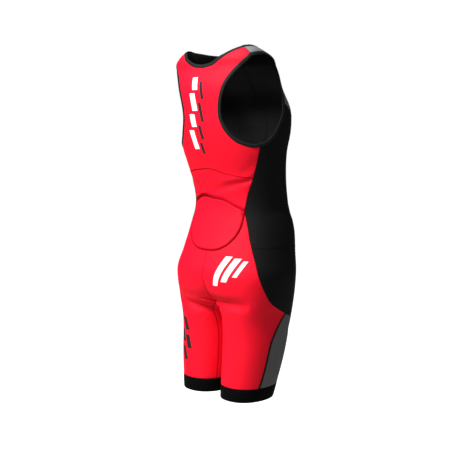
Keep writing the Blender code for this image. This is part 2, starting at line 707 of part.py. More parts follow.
def strip_wall(line, half, lift, thickness):
    """A narrow strip down the centre front, from a line of heights."""
    columns = [np.stack([line, turn_at(line, x, True)], axis=-1) for x in (0.0, half)]
    places = np.stack(columns, axis=1)
    normals = figure_normals(places)
    normals[:, 0, 0] = 0.0
    base = figure_points(places) + normals * fold_height(places)[..., None]
    outer = base + normals * lift
    inner = outer - normals * thickness
    return [np.concatenate([mirrored(skin[:, :0:-1]), skin], axis=1) for skin in (outer, inner)]


def zip_heights():
    """The tape's rows: its top, one flat stretch under the slider, then even steps."""
    top = to_zip("neck_front", ROWS_NECK)[-1, 0] - SEAM_GAP
    line = centre_line(top, ZIP_END + SEAM_GAP, 480, front=True)
    length = np.concatenate([[0.0], np.cumsum(np.linalg.norm(
        np.diff(figure_points(line), axis=0), axis=1))])
    slider_end = SLIDER_FROM + SLIDER.long + 2 * SLIDER_SLACK
    marks = np.concatenate([[0.0, SLIDER_FROM],
                            np.linspace(slider_end, length[-1], ZIP_ROWS + 1)])
    return np.interp(marks, length, line[:, 0])


def add_zip():
    heights = zip_heights()
    tape = strip_wall(heights, ZIP_HALF - SEAM_GAP, -TAPE_SUNK, TAPE_WALL)
    add_solid("zip_tape", *loft_wall(*tape), BLACK)
    chain_lift = -TAPE_SUNK + SEAM_GAP + CHAIN_WALL
    teeth = strip_wall(heights[2:], CHAIN_HALF, chain_lift, CHAIN_WALL)
    add_solid("zip_chain", *loft_wall(*teeth), BINDING_BLACK)


def slider_frame():
    """The middle of the slider's foot, and axes across, down the zip and out of the cloth."""
    heights = zip_heights()[1:3]
    places = np.stack([heights, turn_at(heights, 0.0, True)], axis=-1)
    lift = (fold_height(places) - TAPE_SUNK)[:, None]
    high, low = figure_points(places) + figure_normals(places) * [0.0, 1.0, 1.0] * lift
    across = np.array([1.0, 0.0, 0.0])
    down = (low - high) / np.linalg.norm(low - high)
    outward = np.cross(down, across)
    middle = (high + low) / 2 * [0.0, 1.0, 1.0]
    return middle + outward * SEAM_GAP, across, down, outward


def to_world(centre, frame):
    """Places a part built about its own middle, its Z down the zip and its Y outward."""
    foot, across, down, outward = frame
    middle = foot + across * centre[0] + outward * centre[1] + down * centre[2]
    columns = np.column_stack([across, outward, down, middle])
    return Matrix([*map(list, columns), [0.0, 0.0, 0.0, 1.0]])


def add_block(name, size, centre, frame, colour, bevel):
    solid = bmesh.new()
    bmesh.ops.create_cube(solid, size=1.0)
    bmesh.ops.scale(solid, vec=(size.across, size.thick, size.long), verts=solid.verts)
    return finish_metal(name, solid, to_world(centre, frame), colour, bevel)


def add_rod(name, radius, length, centre, frame, colour, bevel=0.0):
    """A round bar along the across axis."""
    solid = bmesh.new()
    turned = Matrix.Rotation(math.radians(90.0), 4, "Y")
    bmesh.ops.create_cone(solid, cap_ends=True, segments=ROD_SIDES, radius1=radius,
                          radius2=radius, depth=length, matrix=turned)
    return finish_metal(name, solid, to_world(centre, frame), colour, bevel)


def finish_metal(name, solid, matrix, colour, bevel):
    mesh = bpy.data.meshes.new(name)
    solid.to_mesh(mesh)
    solid.free()
    made = bpy.data.objects.new(name, mesh)
    made.matrix_world = matrix
    mesh.materials.append(material(name, colour, 0.35, 1.0))
    if bevel:
        edge = made.modifiers.new("edges", "BEVEL")
        edge.width = bevel
        edge.segments = 2
    return made


def combine(base, operand, operation):
    cutters.objects.link(operand)
    operand.hide_render = True
    operand.display_type = "WIRE"
    step = base.modifiers.new(operand.name, "BOOLEAN")
    step.operation = operation
    step.solver = "EXACT"
    step.object = operand


def add_slider():
    """The slider, with two cheeks and the pin that the pull tab turns on."""
    frame = slider_frame()
    mid = SLIDER.thick / 2
    slider = add_block("zip_slider", SLIDER, (0, mid, 0), frame, METAL, 0.0008)
    pin_out = SLIDER.thick + PIN_HEIGHT
    for side, sign in (("left", 1), ("right", -1)):
        cheek_mid = SLIDER.thick - 0.0008 + CHEEK.thick / 2
        cheek = add_block("slider_cheek_" + side, CHEEK,
                          (sign * CHEEK_OUT, cheek_mid, 0), frame, METAL, 0.0)
        combine(slider, cheek, "UNION")
    pin = add_rod("slider_pin", PIN_RADIUS, 2 * CHEEK_OUT, (0, pin_out, 0), frame, METAL)
    combine(slider, pin, "UNION")
    collection.objects.link(slider)


def add_pull():
    """The pull tab, hung on the pin through its eye. Its origin is on the pin's axis."""
    frame = slider_frame()
    pin_out = SLIDER.thick + PIN_HEIGHT
    tab = add_rod("zip_pull", TAB_HEAD_RADIUS, TAB_NECK.across, (0, pin_out, 0), frame, METAL)
    neck = add_block("pull_neck", TAB_NECK, (0, pin_out, TAB_NECK.long / 2), frame, METAL, 0.0)
    grip_down = TAB_NECK.long + TAB.long / 2 - 0.001
    grip = add_block("pull_grip", TAB, (0, pin_out, grip_down), frame, METAL, 0.0006)
    eye = add_rod("pull_eye", TAB_EYE_RADIUS, 0.01, (0, pin_out, 0), frame, METAL)
    combine(tab, neck, "UNION")
    combine(tab, grip, "UNION")
    combine(tab, eye, "DIFFERENCE")
    collection.objects.link(tab)


def main():
    global collection, cutters
    clear_scene()
    collection = bpy.data.collections.new("swimrun_wetsuit")
    cutters = bpy.data.collections.new("cutters")
    for made in (collection, cutters):
        bpy.context.scene.collection.children.link(made)
    add_panels()
    add_cuffs()
    add_bindings()
    add_zip()
    add_slider()
    add_pull()


main()
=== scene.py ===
"""Looks of the sleeveless swimrun wetsuit: knit-faced neoprene, bindings, seams and zip.

Metres, +Z up. The wearer faces -Y and the wearer's left is +X. Each cloth piece is made again,
finer and with its creases, on the same figure and seams as its solid, which it stands for.
A place on the figure is (height, turn): turn runs in degrees from the centre back, 0, round
the left side, 90, to the centre front, 180, and below the crotch on round the left leg.
"""
import math
from collections import namedtuple

import bpy  # noqa: E402
import numpy as np  # noqa: E402
from mathutils import Matrix, Vector  # noqa: E402


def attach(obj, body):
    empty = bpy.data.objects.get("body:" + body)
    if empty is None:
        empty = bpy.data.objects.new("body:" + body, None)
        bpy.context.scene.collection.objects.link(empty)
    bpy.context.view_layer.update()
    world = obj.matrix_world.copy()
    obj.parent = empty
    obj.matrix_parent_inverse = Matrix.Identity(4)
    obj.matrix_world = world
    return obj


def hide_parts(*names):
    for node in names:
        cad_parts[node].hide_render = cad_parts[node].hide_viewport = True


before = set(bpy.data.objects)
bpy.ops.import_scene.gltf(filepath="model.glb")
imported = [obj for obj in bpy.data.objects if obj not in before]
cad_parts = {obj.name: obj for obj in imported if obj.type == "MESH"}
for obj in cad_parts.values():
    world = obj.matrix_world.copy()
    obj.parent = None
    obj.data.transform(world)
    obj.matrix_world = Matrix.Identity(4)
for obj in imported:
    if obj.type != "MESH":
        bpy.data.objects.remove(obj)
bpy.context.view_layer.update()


def table(columns, *rows):
    """Rows of values with named columns."""
    row = namedtuple("Row", columns)
    return [row(*values) for values in rows]


# ---- Sizes ---------------------------------------------------------------------------

ORIGIN_DOWN = 0.010          # the origin, below the level from which heights are measured
SEAM_GAP = 0.0003
PANEL_WALL = 0.0024
POCKET_WALL = 0.0015
MOUTH_PROUD = 0.0006
BINDING_WIDTH = 0.009
BINDING_WALL = 0.0034
BINDING_PROUD = 0.0010
BINDING_OVERLAP = 0.0006     # how far a binding reaches over the panel's rounded edge
CUFF_WALL = 0.0028
CUFF_PROUD = 0.0005
HEM_HEIGHT = -0.905
CUFF_TOP = -0.870
ZIP_HALF = 0.009
ZIP_END = -0.512
TAPE_SUNK = 0.0008           # tape's face, below the face of the panels
TAPE_WALL = 0.0008
SLIDER_FROM = 0.009          # the slider's top end, from the top of the zip
SLIDER_END = 0.0232
EDGE_ROUND = 0.0016          # how far from its edge a panel starts to round off
EDGE_DROP = 0.0007           # how far the rounded edge lies below the panel's face
EDGE_THINNING = 1.6          # how far the wall thins there, for each metre of that drop
DENSE = 6                    # fine steps to each step of the solids
CLOSE_LINES = (0.12, 0.38)   # shares of the first fine step, where edges need closer lines

FIGURE = table(
    "height centre_out half_width mid_y half_depth squareness",
    (+0.010, 0.0000, 0.0600, -0.018, 0.006, 2.4),
    (+0.000, 0.0000, 0.0900, -0.018, 0.016, 2.4),   # neck, at the straps
    (-0.018, 0.0000, 0.1300, -0.025, 0.046, 2.5),   # shoulder
    (-0.035, 0.0000, 0.1430, -0.034, 0.070, 2.8),
    (-0.060, 0.0000, 0.1480, -0.040, 0.080, 2.8),
    (-0.110, 0.0000, 0.1570, -0.048, 0.102, 2.4),   # shoulder blades
    (-0.165, 0.0000, 0.1610, -0.068, 0.120, 2.3),   # chest
    (-0.215, 0.0000, 0.1600, -0.073, 0.120, 2.2),
    (-0.270, 0.0000, 0.1520, -0.074, 0.107, 2.2),   # under the arms
    (-0.340, 0.0000, 0.1410, -0.088, 0.096, 2.2),
    (-0.405, 0.0000, 0.1370, -0.100, 0.098, 2.2),   # waist
    (-0.470, 0.0000, 0.1545, -0.100, 0.110, 2.2),
    (-0.530, 0.0050, 0.1605, -0.089, 0.118, 2.2),   # hips
    (-0.580, 0.0250, 0.1490, -0.079, 0.121, 2.2),   # seat
    (-0.620, 0.0480, 0.1200, -0.079, 0.116, 2.2),
    (-0.655, 0.0680, 0.0930, -0.080, 0.107, 2.2),
    (-0.685, 0.0765, 0.0765, -0.081, 0.102, 2.2),   # lowest point of the crotch
    (-0.710, 0.0770, 0.0730, -0.080, 0.098, 2.2),
    (-0.740, 0.0770, 0.0725, -0.077, 0.093, 2.2),   # thigh
    (-0.800, 0.0765, 0.0700, -0.068, 0.086, 2.2),
    (-0.870, 0.0730, 0.0650, -0.056, 0.076, 2.2),
    (-0.905, 0.0710, 0.0620, -0.050, 0.071, 2.2),   # hem
)
CROTCH_LOW = -0.685
CROTCH_SIDE = -0.662
NECK_CENTRE = -0.062
UNDERARM_CENTRE = -0.262
LUMBAR_CENTRE = -0.314
MOUTH_TOP = -0.382
MOUTH_LOW = -0.391
POCKET_FOOT = -0.522

# Broad folds, alike on both sides, along a line that climbs with the turn.
FOLDS = table(
    "height turn climb reach spread depth",
    (-0.353, 28.0, +0.00060, 24.0, 0.009, -0.0026),    # across the small of the back
    (-0.340, 26.0, +0.00020, 22.0, 0.008, +0.0016),
    (-0.646, 8.0, +0.00020, 26.0, 0.012, -0.0032),     # under the seat
    (-0.300, 66.0, -0.00050, 16.0, 0.012, -0.0014),    # below the armhole
    (-0.418, 96.0, +0.00030, 30.0, 0.012, -0.0018),    # side of the waist
    (-0.432, 160.0, -0.00020, 26.0, 0.012, -0.0020),   # front of the waist
    (-0.640, 190.0, -0.00070, 34.0, 0.014, -0.0028),   # from the crotch over the hip
    (-0.725, 150.0, +0.00040, 40.0, 0.013, -0.0014),   # front of the thigh
)

# Each seam has the steps of the solids along it, and then its places.
SEAMS = {
    "neck_back": (6, (NECK_CENTRE, 0), (-0.056, 14), (-0.041, 25), (-0.0225, 40), (-0.014, 56)),
    "neck_front": (6, (-0.014, 56), (-0.0115, 86), (-0.0145, 116), (-0.0215, 145), (-0.0265, 165),
        (-0.0275, 180)),
    "shoulder": (6, (-0.014, 56), (-0.0305, 60)),
    "arm_back": (14, (-0.0305, 60), (-0.060, 42.5), (-0.088, 32.5), (-0.120, 26.5), (-0.152, 23),
        (-0.186, 22.5), (-0.214, 26.5), (-0.236, 33), (-0.248, 39)),
    "arm_low": (3, (-0.248, 39), (-0.257, 49), (-0.260, 57), (-0.258, 64)),
    "arm_under": (5, (-0.258, 64), (-0.253, 72), (-0.241, 80), (-0.213, 90), (-0.180, 99),
        (-0.150, 105)),
    "arm_strap": (3, (-0.0305, 60), (-0.027, 76), (-0.0255, 95), (-0.028, 110)),
    "arm_front": (12, (-0.028, 110), (-0.035, 117), (-0.046, 121), (-0.065, 122.5), (-0.090, 121),
        (-0.110, 118), (-0.130, 112), (-0.150, 105)),
    "chest": (9, (-0.150, 105), (-0.165, 115), (-0.183, 128), (-0.204, 150), (-0.215, 180)),
    "underarm_level": (6, (UNDERARM_CENTRE, 0), (-0.260, 20), (-0.248, 39)),
    "lumbar": (9, (LUMBAR_CENTRE, 0), (-0.3165, 7), (-0.3245, 18), (-0.3305, 30), (-0.334, 40),
        (-0.336, 52)),
    "mouth_top": (9, (MOUTH_TOP, 0), (-0.3855, 14), (-0.398, 26), (-0.411, 39.6)),
    "mouth_low": (9, (MOUTH_LOW, 0), (-0.3955, 14), (-0.408, 26), (-0.421, 38.9)),
    "pocket_foot": (9, (POCKET_FOOT, 0), (-0.521, 7), (-0.516, 15), (-0.5045, 23)),
    "pocket_side": (4, (-0.5045, 23), (-0.484, 30), (-0.462, 34.6), (-0.440, 37.4),
        (-0.421, 38.9)),
    "side_high": (4, (-0.258, 64), (-0.292, 60), (-0.336, 52)),
    "side_waist": (4, (-0.336, 52), (-0.378, 44), (-0.411, 39.6)),
    "side_hip": (4, (-0.421, 38.9), (-0.448, 41), (-0.484, 44), (-0.512, 47.7)),
    "side_seat": (9, (-0.512, 47.7), (-0.544, 52), (-0.580, 56), (-0.622, 64), (-0.648, 72),
        (-0.668, 88), (-0.684, 106)),
    "front_side": (13, (-0.150, 105), (-0.250, 107), (-0.350, 105), (-0.430, 104), (-0.514, 109)),
    "front_hip_side": (9, (-0.514, 109), (-0.596, 106), (-0.660, 109), (-0.689, 114)),
    "hip_side": (5, (-0.512, 47.7), (-0.511, 78), (-0.514, 109)),
    "hip_front": (9, (-0.514, 109), (-0.516, 145), (-0.512, 180)),
    "thigh_side": (5, (-0.684, 106), (-0.689, 114)),
    "thigh_front": (9, (-0.689, 114), (-0.702, 138), (-0.704, 165), (-0.690, 200)),
    "thigh_back": (8, (-0.684, 106), (-0.700, 98), (-0.718, 91), (-0.750, 81), (-0.780, 77.5),
        (-0.814, 75.5), (-0.846, 73), (CUFF_TOP, 70)),
    "inseam_back": (8, (-0.684, 311), (-0.702, 306), (-0.728, 302), (-0.774, 298),
        (CUFF_TOP, 296)),
    "inseam_front": (8, (-0.690, 227), (-0.730, 222), (-0.800, 218), (CUFF_TOP, 215)),
    "cuff_back": (13, (CUFF_TOP, -64), (CUFF_TOP, 70)),
    "cuff_side": (5, (CUFF_TOP, 70), (CUFF_TOP, 114)),
    "cuff_front": (9, (CUFF_TOP, 114), (CUFF_TOP, 215)),
    "cuff_inner": (5, (CUFF_TOP, 215), (CUFF_TOP, 296)),
}

# On the wearer's left the cloth of the small of the back sits higher and further round.
LEFT_SHIFTS = table(
    "height rise round",
    (-0.560, 0.000, 0.0),
    (-0.512, 0.000, 2.5),
    (-0.470, 0.005, 3.5),
    (-0.430, 0.013, 2.0),
    (-0.390, 0.016, 0.5),
    (-0.334, 0.012, 0.0),
    (-0.300, 0.007, 0.0),
    (-0.262, 0.000, 0.0),
)
LEFT_SHARES = table(                     # of that shift, none at the centre back
    "turn share",
    (0, 0.0), (10, 0.36), (22, 0.86), (40, 1.0), (90, 1.0), (112, 0.5), (134, 0.0), (150, 0.0),
)

STRAP_STEPS = 6              # steps of the solids across a strap
SPINE_STEPS = 8              # and from the neck down to the level of the armholes
CHEST_STEPS = 9              # and down the zip beside the chest panel
MOUTH_ROWS = 5               # rows of points across the binding of the pocket's mouth
SEAT_SEAM_STEPS = 18
FRONT_SEAM_STEPS = 12
ZIP_STEPS = 32
LINE_MARKS = 241             # places along a line before it is cut into its steps
CROTCH_MARKS = 161
ZIP_SEAM_STEPS = 48
WALK_MARKS = 40              # and between two given places
CENTRAL = 1e-6               # points nearer to the centre plane than this lie on it
BATCH = 2000                 # points whose distances are measured at once

# Creases: a valley from one place to another, with lower ridges beside it. side is L, R or B
# for both. width is half the valley's, and ridge is the height of those ridges to its depth.
CREASES = table(
    "side height turn end_height end_turn width depth ridge",
    ("R", -0.337, 53, -0.351, 35, 0.0045, 0.0020, 0.3),   # small of the back
    ("R", -0.347, 42, -0.369, 2, 0.0085, 0.0015, 0.2),
    ("L", -0.357, 36, -0.367, 3, 0.0075, 0.0009, 0.2),
    ("R", -0.300, 60, -0.322, 38, 0.0090, 0.0010, 0.2),
    ("L", -0.661, 34, -0.684, -58, 0.0110, 0.0105, 0.0),  # under the seat
    ("R", -0.656, -38, -0.656, 42, 0.0120, 0.0095, 0.0),
    ("L", -0.650, -22, -0.655, -52, 0.0034, 0.0042, 0.2),  # short ones at the crotch
    ("L", -0.663, -24, -0.671, -58, 0.0034, 0.0046, 0.2),
    ("L", -0.676, -30, -0.684, -62, 0.0034, 0.0040, 0.2),
    ("R", -0.652, -24, -0.660, -52, 0.0036, 0.0036, 0.2),
    ("R", -0.668, -28, -0.680, -58, 0.0034, 0.0038, 0.2),
    ("B", -0.690, -40, -0.716, -22, 0.0050, 0.0010, 0.3),
    ("L", -0.665, 232, -0.700, 190, 0.0050, 0.0020, 0.3),
    ("R", -0.660, 228, -0.694, 184, 0.0055, 0.0018, 0.3),
    ("L", -0.650, 215, -0.672, 172, 0.0060, 0.0018, 0.3),
    ("R", -0.645, 210, -0.680, 166, 0.0065, 0.0016, 0.3),
    ("L", -0.405, 78, -0.424, 116, 0.0070, 0.0014, 0.3),   # waist, at the side
    ("R", -0.408, 70, -0.430, 112, 0.0080, 0.0014, 0.3),
    ("R", -0.430, 120, -0.440, 168, 0.0080, 0.0016, 0.3),
    ("L", -0.436, 124, -0.430, 170, 0.0070, 0.0016, 0.3),
    ("R", -0.268, 74, -0.300, 92, 0.0070, 0.0012, 0.3),    # below the armholes
    ("L", -0.270, 76, -0.296, 90, 0.0060, 0.0012, 0.3),
)
TAPER_POWER = 0.8            # how bluntly a crease's ends run out
RIDGE_ASIDE = 2.1            # a ridge's middle and spread, in half widths of its valley
RIDGE_SPREAD = 0.9
DEGREE = 0.0024              # about how far one degree of turn is, on the cloth

RED, LINING, BLACK = "red_neoprene", "lining", "black_neoprene"
LIGHT_GREY, DARK_GREY = "light_grey_neoprene", "dark_grey_neoprene"


# ---- The figure ----------------------------------------------------------------------

def smooth_table(knots, values, at):
    """Cubic through the table's points, whose slopes never overshoot by much."""
    steps = np.diff(knots)
    slopes = np.diff(values) / steps
    tangents = np.empty_like(values)
    tangents[1:-1] = ((slopes[:-1] * steps[1:] + slopes[1:] * steps[:-1])
                      / (steps[:-1] + steps[1:]))
    tangents[0], tangents[-1] = slopes[0], slopes[-1]
    at = np.clip(at, knots[0], knots[-1])
    cell = np.clip(np.searchsorted(knots, at) - 1, 0, len(steps) - 1)
    span = steps[cell]
    t = (at - knots[cell]) / span
    return ((2 * t**3 - 3 * t**2 + 1) * values[cell]
            + (t**3 - 2 * t**2 + t) * span * tangents[cell]
            + (3 * t**2 - 2 * t**3) * values[cell + 1]
            + (t**3 - t**2) * span * tangents[cell + 1])


def unit(vectors):
    return vectors / np.linalg.norm(vectors, axis=-1, keepdims=True)


def run_length(points):
    """How far along a line of points each one lies."""
    return np.concatenate([[0.0], np.cumsum(np.linalg.norm(np.diff(points, axis=0), axis=1))])


def values_at(at, length, values):
    """Values between those of a line's points, at lengths along it."""
    return np.stack([np.interp(at, length, column) for column in values.T], axis=-1)


FIGURE_COLUMNS = np.array(FIGURE, dtype=float)[::-1].T


def section_at(height):
    """Centre out, half width, middle y, half depth and squareness at each height."""
    knots = FIGURE_COLUMNS[0]
    return [smooth_table(knots, column, height) for column in FIGURE_COLUMNS[1:]]


def turn_at(height, x, front=False):
    """The turn at which the figure is x metres out from its centre plane."""
    centre_out, half_width, _, _, squareness = section_at(np.asarray(height, dtype=float))
    share = np.clip((x - centre_out) / half_width, -1.0, 1.0)
    rest = (1.0 - np.abs(share)**squareness)**(1.0 / squareness)
    turn = np.degrees(np.arctan2(share, rest))
    return 180.0 - turn if front else turn


def figure_points(places):
    """Points of the smooth figure at (height, turn) places, the last axis of the array."""
    height, turn = places[..., 0], np.radians(places[..., 1])
    centre_out, half_width, mid_y, half_depth, squareness = section_at(height)
    sine, cosine = np.sin(turn), np.cos(turn)
    reach = (np.abs(sine)**squareness + np.abs(cosine)**squareness)**(-1.0 / squareness)
    return np.stack([centre_out + half_width * reach * sine,
                     mid_y + half_depth * reach * cosine, height + ORIGIN_DOWN], axis=-1)


def figure_normals(places):
    """Unit vectors that point out of the figure."""
    up, around = np.array([0.0005, 0.0]), np.array([0.0, 0.25])
    rise = figure_points(places + up) - figure_points(places - up)
    along = figure_points(places + around) - figure_points(places - around)
    return unit(np.cross(rise, along))


def shift_left(places):
    """Places of the mirrored half, moved to where the cloth sits on the wearer's left."""
    heights, rises, rounds = np.array(LEFT_SHIFTS, dtype=float).T
    turns, shares = np.array(LEFT_SHARES, dtype=float).T
    share = smooth_table(turns, shares, places[..., 1])
    moves = [share * smooth_table(heights, values, places[..., 0]) for values in (rises, rounds)]
    central = np.abs(figure_points(places)[..., 0]) < CENTRAL
    return np.where(central[..., None], places, places + np.stack(moves, axis=-1))


def turn_between(turn, other):
    return (turn - other + 180.0) % 360.0 - 180.0


def cloth_lift(places, side):
    """How far folds and creases lift the cloth off the smooth figure, on side L or R."""
    height, turn = places[..., 0], places[..., 1]
    lift = np.zeros_like(height)
    for fold in FOLDS:
        aside = turn_between(turn, fold.turn)
        off = (height - fold.height - fold.climb * aside) / fold.spread
        lift += fold.depth * np.exp(-(aside / fold.reach)**2 - off**2)
    for crease in CREASES:
        if crease.side not in ("B", side):
            continue
        run = np.array([crease.end_height - crease.height,
                        (crease.end_turn - crease.turn) * DEGREE])
        length = np.linalg.norm(run)
        run /= length
        from_start = np.stack([height - crease.height,
                               turn_between(turn, crease.turn) * DEGREE], axis=-1)
        share = from_start @ run / length
        off = (from_start @ np.array([run[1], -run[0]])) / crease.width
        taper = np.clip(1.0 - (2.0 * share - 1.0)**2, 0.0, 1.0)**TAPER_POWER
        ridges = np.exp(-((np.abs(off) - RIDGE_ASIDE) / RIDGE_SPREAD)**2)
        valley = np.exp(-off**2) - crease.ridge * ridges
        lift -= crease.depth * taper * valley
    return lift


# ---- Seams and patches ---------------------------------------------------------------

def walk(places, count):
    """A smooth line through the places, in fine steps of equal length on the figure."""
    places = np.asarray(places, dtype=float)
    knots = run_length(figure_points(places))
    fine = np.linspace(0.0, knots[-1], WALK_MARKS * (len(places) - 1) + 1)
    line = np.stack([smooth_table(knots, column, fine) for column in places.T], axis=-1)
    return even_steps(line, count)


def even_steps(line, count):
    """The same line, with DENSE fine steps for each step of the solids."""
    length = run_length(figure_points(line))
    return values_at(np.linspace(0.0, length[-1], count * DENSE + 1), length, line)


def steps(*names):
    return sum(SEAMS[name][0] for name in names)


def seam(*names, count=None):
    """Seams end to end. Their ends at 0 and 180 degrees lie on the centre plane itself."""
    lines = []
    for name in names:
        places = np.array(SEAMS[name][1:], dtype=float)
        for turn, front in ((0.0, False), (180.0, True)):
            central = places[:, 1] == turn
            places[central, 1] = turn_at(places[central, 0], 0.0, front)
        lines.append(walk(places, count or steps(name)))
    return chain(*lines)


def centre_line(top, bottom, count, x=0.0, front=False):
    """A line that stays x metres out from the centre plane, at the back or the front."""
    height = np.linspace(top, bottom, LINE_MARKS)
    return even_steps(np.stack([height, turn_at(height, x, front)], axis=-1), count)


def chain(*lines):
    """Lines joined end to end, each shared point kept once."""
    return np.concatenate([lines[0]] + [line[1:] for line in lines[1:]])


def patch(top, bottom, start, end):
    """Rows of places that fill four seams: top to bottom, each row from start to end."""
    rows, columns = len(start), len(top)
    down = np.linspace(0.0, 1.0, rows)[:, None, None]
    across = np.linspace(0.0, 1.0, columns)[None, :, None]
    sides = (1 - across) * start[:, None] + across * end[:, None]
    ends = (1 - down) * top[None] + down * bottom[None]
    corners = ((1 - down) * ((1 - across) * top[0] + across * top[-1])
               + down * ((1 - across) * bottom[0] + across * bottom[-1]))
    return sides + ends - corners


START, END = (0, 1), (-1, -1)


def closer_lines(grid, rows=(), columns=()):
    """Add close lines beside the given ones, as (line, +1 or -1 for the way inward)."""
    for axis, edges in enumerate((rows, columns)):
        marks = set(range(grid.shape[axis]))
        for line, way in edges:
            marks |= {line % grid.shape[axis] + way * share for share in CLOSE_LINES}
        marks = np.array(sorted(marks))
        low = np.minimum(marks.astype(int), grid.shape[axis] - 2)
        share = (marks - low).reshape((-1, 1, 1) if axis == 0 else (1, -1, 1))
        grid = np.take(grid, low, axis) * (1 - share) + np.take(grid, low + 1, axis) * share
    return grid


# ---- Panels, as patches between seams -------------------------------------------------

def back_places():
    level = seam("underarm_level")
    spine = centre_line(NECK_CENTRE, UNDERARM_CENTRE, SPINE_STEPS)
    above = patch(seam("shoulder"), level, chain(seam("neck_back")[::-1], spine),
                  seam("arm_back"))
    below = patch(chain(level, seam("arm_low")), seam("lumbar"),
                  centre_line(UNDERARM_CENTRE, LUMBAR_CENTRE, steps("side_high")),
                  seam("side_high"))
    return (closer_lines(above, [START], [START, END]),
            closer_lines(below, [START, END], [START, (STRAP_STEPS * DENSE, -1), END]))


def lumbar_places():
    """The panel down to the pocket's mouth, the mouth's binding, and behind the pocket."""
    lumbar, mouth_top, mouth_low = seam("lumbar"), seam("mouth_top"), seam("mouth_low")
    above = patch(lumbar, mouth_top,
                  centre_line(LUMBAR_CENTRE, MOUTH_TOP, steps("side_waist")), seam("side_waist"))
    share = np.linspace(0.0, 1.0, MOUTH_ROWS)[:, None, None]
    behind = patch(mouth_low, seam("pocket_foot"),
                   centre_line(MOUTH_LOW, POCKET_FOOT, steps("pocket_side")),
                   seam("pocket_side")[::-1])
    return above, mouth_top * (1 - share) + mouth_low * share, behind


def crotch_line(top, bottom, front):
    height = np.linspace(top, bottom, CROTCH_MARKS)
    return np.stack([height, turn_at(height, 0.0, front)], axis=-1)


def inseam(end, shift=0.0):
    """The back or front inner leg seam, from where it leaves the centre seam."""
    turn = float(turn_at(CROTCH_SIDE, 0.0, end == "front"))
    start = (CROTCH_SIDE, turn if end == "front" else turn + 360.0)
    name = "inseam_" + end
    return walk((start,) + SEAMS[name][1:], steps(name)) + (0.0, shift)


def thigh_front_line():
    end = ((CROTCH_SIDE, float(turn_at(CROTCH_SIDE, 0.0, True))),)
    return walk(SEAMS["thigh_front"][1:] + end, steps("thigh_front"))


def to_zip(name):
    """A seam that ends at the zip's edge and not at the centre front."""
    line = seam(name, count=ZIP_SEAM_STEPS)
    kept = line[figure_points(line)[:, 0] > ZIP_HALF]
    last = (line[len(kept), 0], float(turn_at(line[len(kept), 0], ZIP_HALF, True)))
    return even_steps(np.concatenate([kept, [last]]), steps(name))


def pair_places():
    """The panels that come in pairs: name, finish, and places on the left half."""
    crotch = even_steps(crotch_line(POCKET_FOOT, CROTCH_SIDE, False),
                        steps("side_hip", "side_seat"))
    seat = patch(seam("pocket_foot", "pocket_side"), seam("cuff_back"),
                 chain(crotch, inseam("back", -360.0)),
                 seam("side_hip", "side_seat", "thigh_back"))
    between = chain(crotch_line(CROTCH_SIDE, CROTCH_LOW, True),
                    crotch_line(CROTCH_SIDE, CROTCH_LOW, False)[::-1] + (0.0, 360.0))
    inner_leg = patch(even_steps(between, steps("cuff_inner")), seam("cuff_inner"),
                      inseam("front"), inseam("back"))
    mouth_end = np.array([SEAMS["mouth_top"][-1], SEAMS["mouth_low"][-1]], dtype=float)
    side_back = chain(seam("side_high", "side_waist"), even_steps(mouth_end, 1),
                      seam("side_hip"))
    neck, chest, hip = to_zip("neck_front"), to_zip("chest"), to_zip("hip_front")
    chest_zip = centre_line(neck[-1, 0], chest[-1, 0], CHEST_STEPS, ZIP_HALF, True)
    front_zip = centre_line(chest[-1, 0], hip[-1, 0], steps("front_side"), ZIP_HALF, True)
    hip_front = seam("hip_front")
    front_crotch = even_steps(crotch_line(hip_front[-1, 0], CROTCH_SIDE, True),
                              steps("front_hip_side"))
    return (
        ("seat_panel", RED, seat),
        ("inner_leg_panel", RED, inner_leg),
        ("side_panel", BLACK,
         patch(seam("arm_under"), seam("hip_side"), side_back, seam("front_side"))),
        ("hip_side_panel", BLACK, patch(seam("hip_side"), seam("thigh_side"),
                                        seam("side_seat"), seam("front_hip_side"))),
        ("chest_panel", LIGHT_GREY,
         patch(seam("shoulder", count=CHEST_STEPS), chest[::-1], chain(neck, chest_zip),
               seam("arm_strap", "arm_front"))),
        ("front_panel", BLACK, patch(chest, hip, seam("front_side"), front_zip)),
        ("front_hip_panel", BLACK,
         patch(hip_front, thigh_front_line(), seam("front_hip_side"), front_crotch)),
        ("thigh_panel", DARK_GREY,
         patch(chain(seam("thigh_side"), thigh_front_line()), seam("cuff_side", "cuff_front"),
               seam("thigh_back"), inseam("front"))),
    )


# ---- From places to cloth ------------------------------------------------------------

def join_patches(patches):
    """The places and four-cornered faces of patches, which share points where they meet."""
    places = np.concatenate([grid.reshape(-1, 2) for grid in patches])
    keys = np.round(figure_points(places) * 1e5).astype(int)
    _, kept, index = np.unique(keys, axis=0, return_index=True, return_inverse=True)
    index = index.reshape(-1)
    places = places[kept]
    points, normals = figure_points(places), figure_normals(places)
    faces, used = [], 0
    for grid in patches:
        rows, columns = grid.shape[:2]
        at = index[used:used + rows * columns].reshape(rows, columns)
        used += rows * columns
        cells = np.stack([at[:-1, :-1], at[:-1, 1:], at[1:, 1:], at[1:, :-1]], -1).reshape(-1, 4)
        facing = (np.cross(points[cells[:, 2]] - points[cells[:, 0]],
                           points[cells[:, 3]] - points[cells[:, 1]]) * normals[cells[:, 0]])
        faces.append(cells if facing.sum() > 0 else cells[:, ::-1])
    return places, np.concatenate(faces)


def border_edges(faces, central):
    """Edges that one face alone has, but for those in the centre plane."""
    here, there = faces.reshape(-1), np.roll(faces, -1, axis=1).reshape(-1)
    size = len(central)
    forward, backward = here * size + there, there * size + here
    alone = ~np.isin(forward, backward) & ~(central[here] & central[there])
    return np.stack([here[alone], there[alone]], -1)


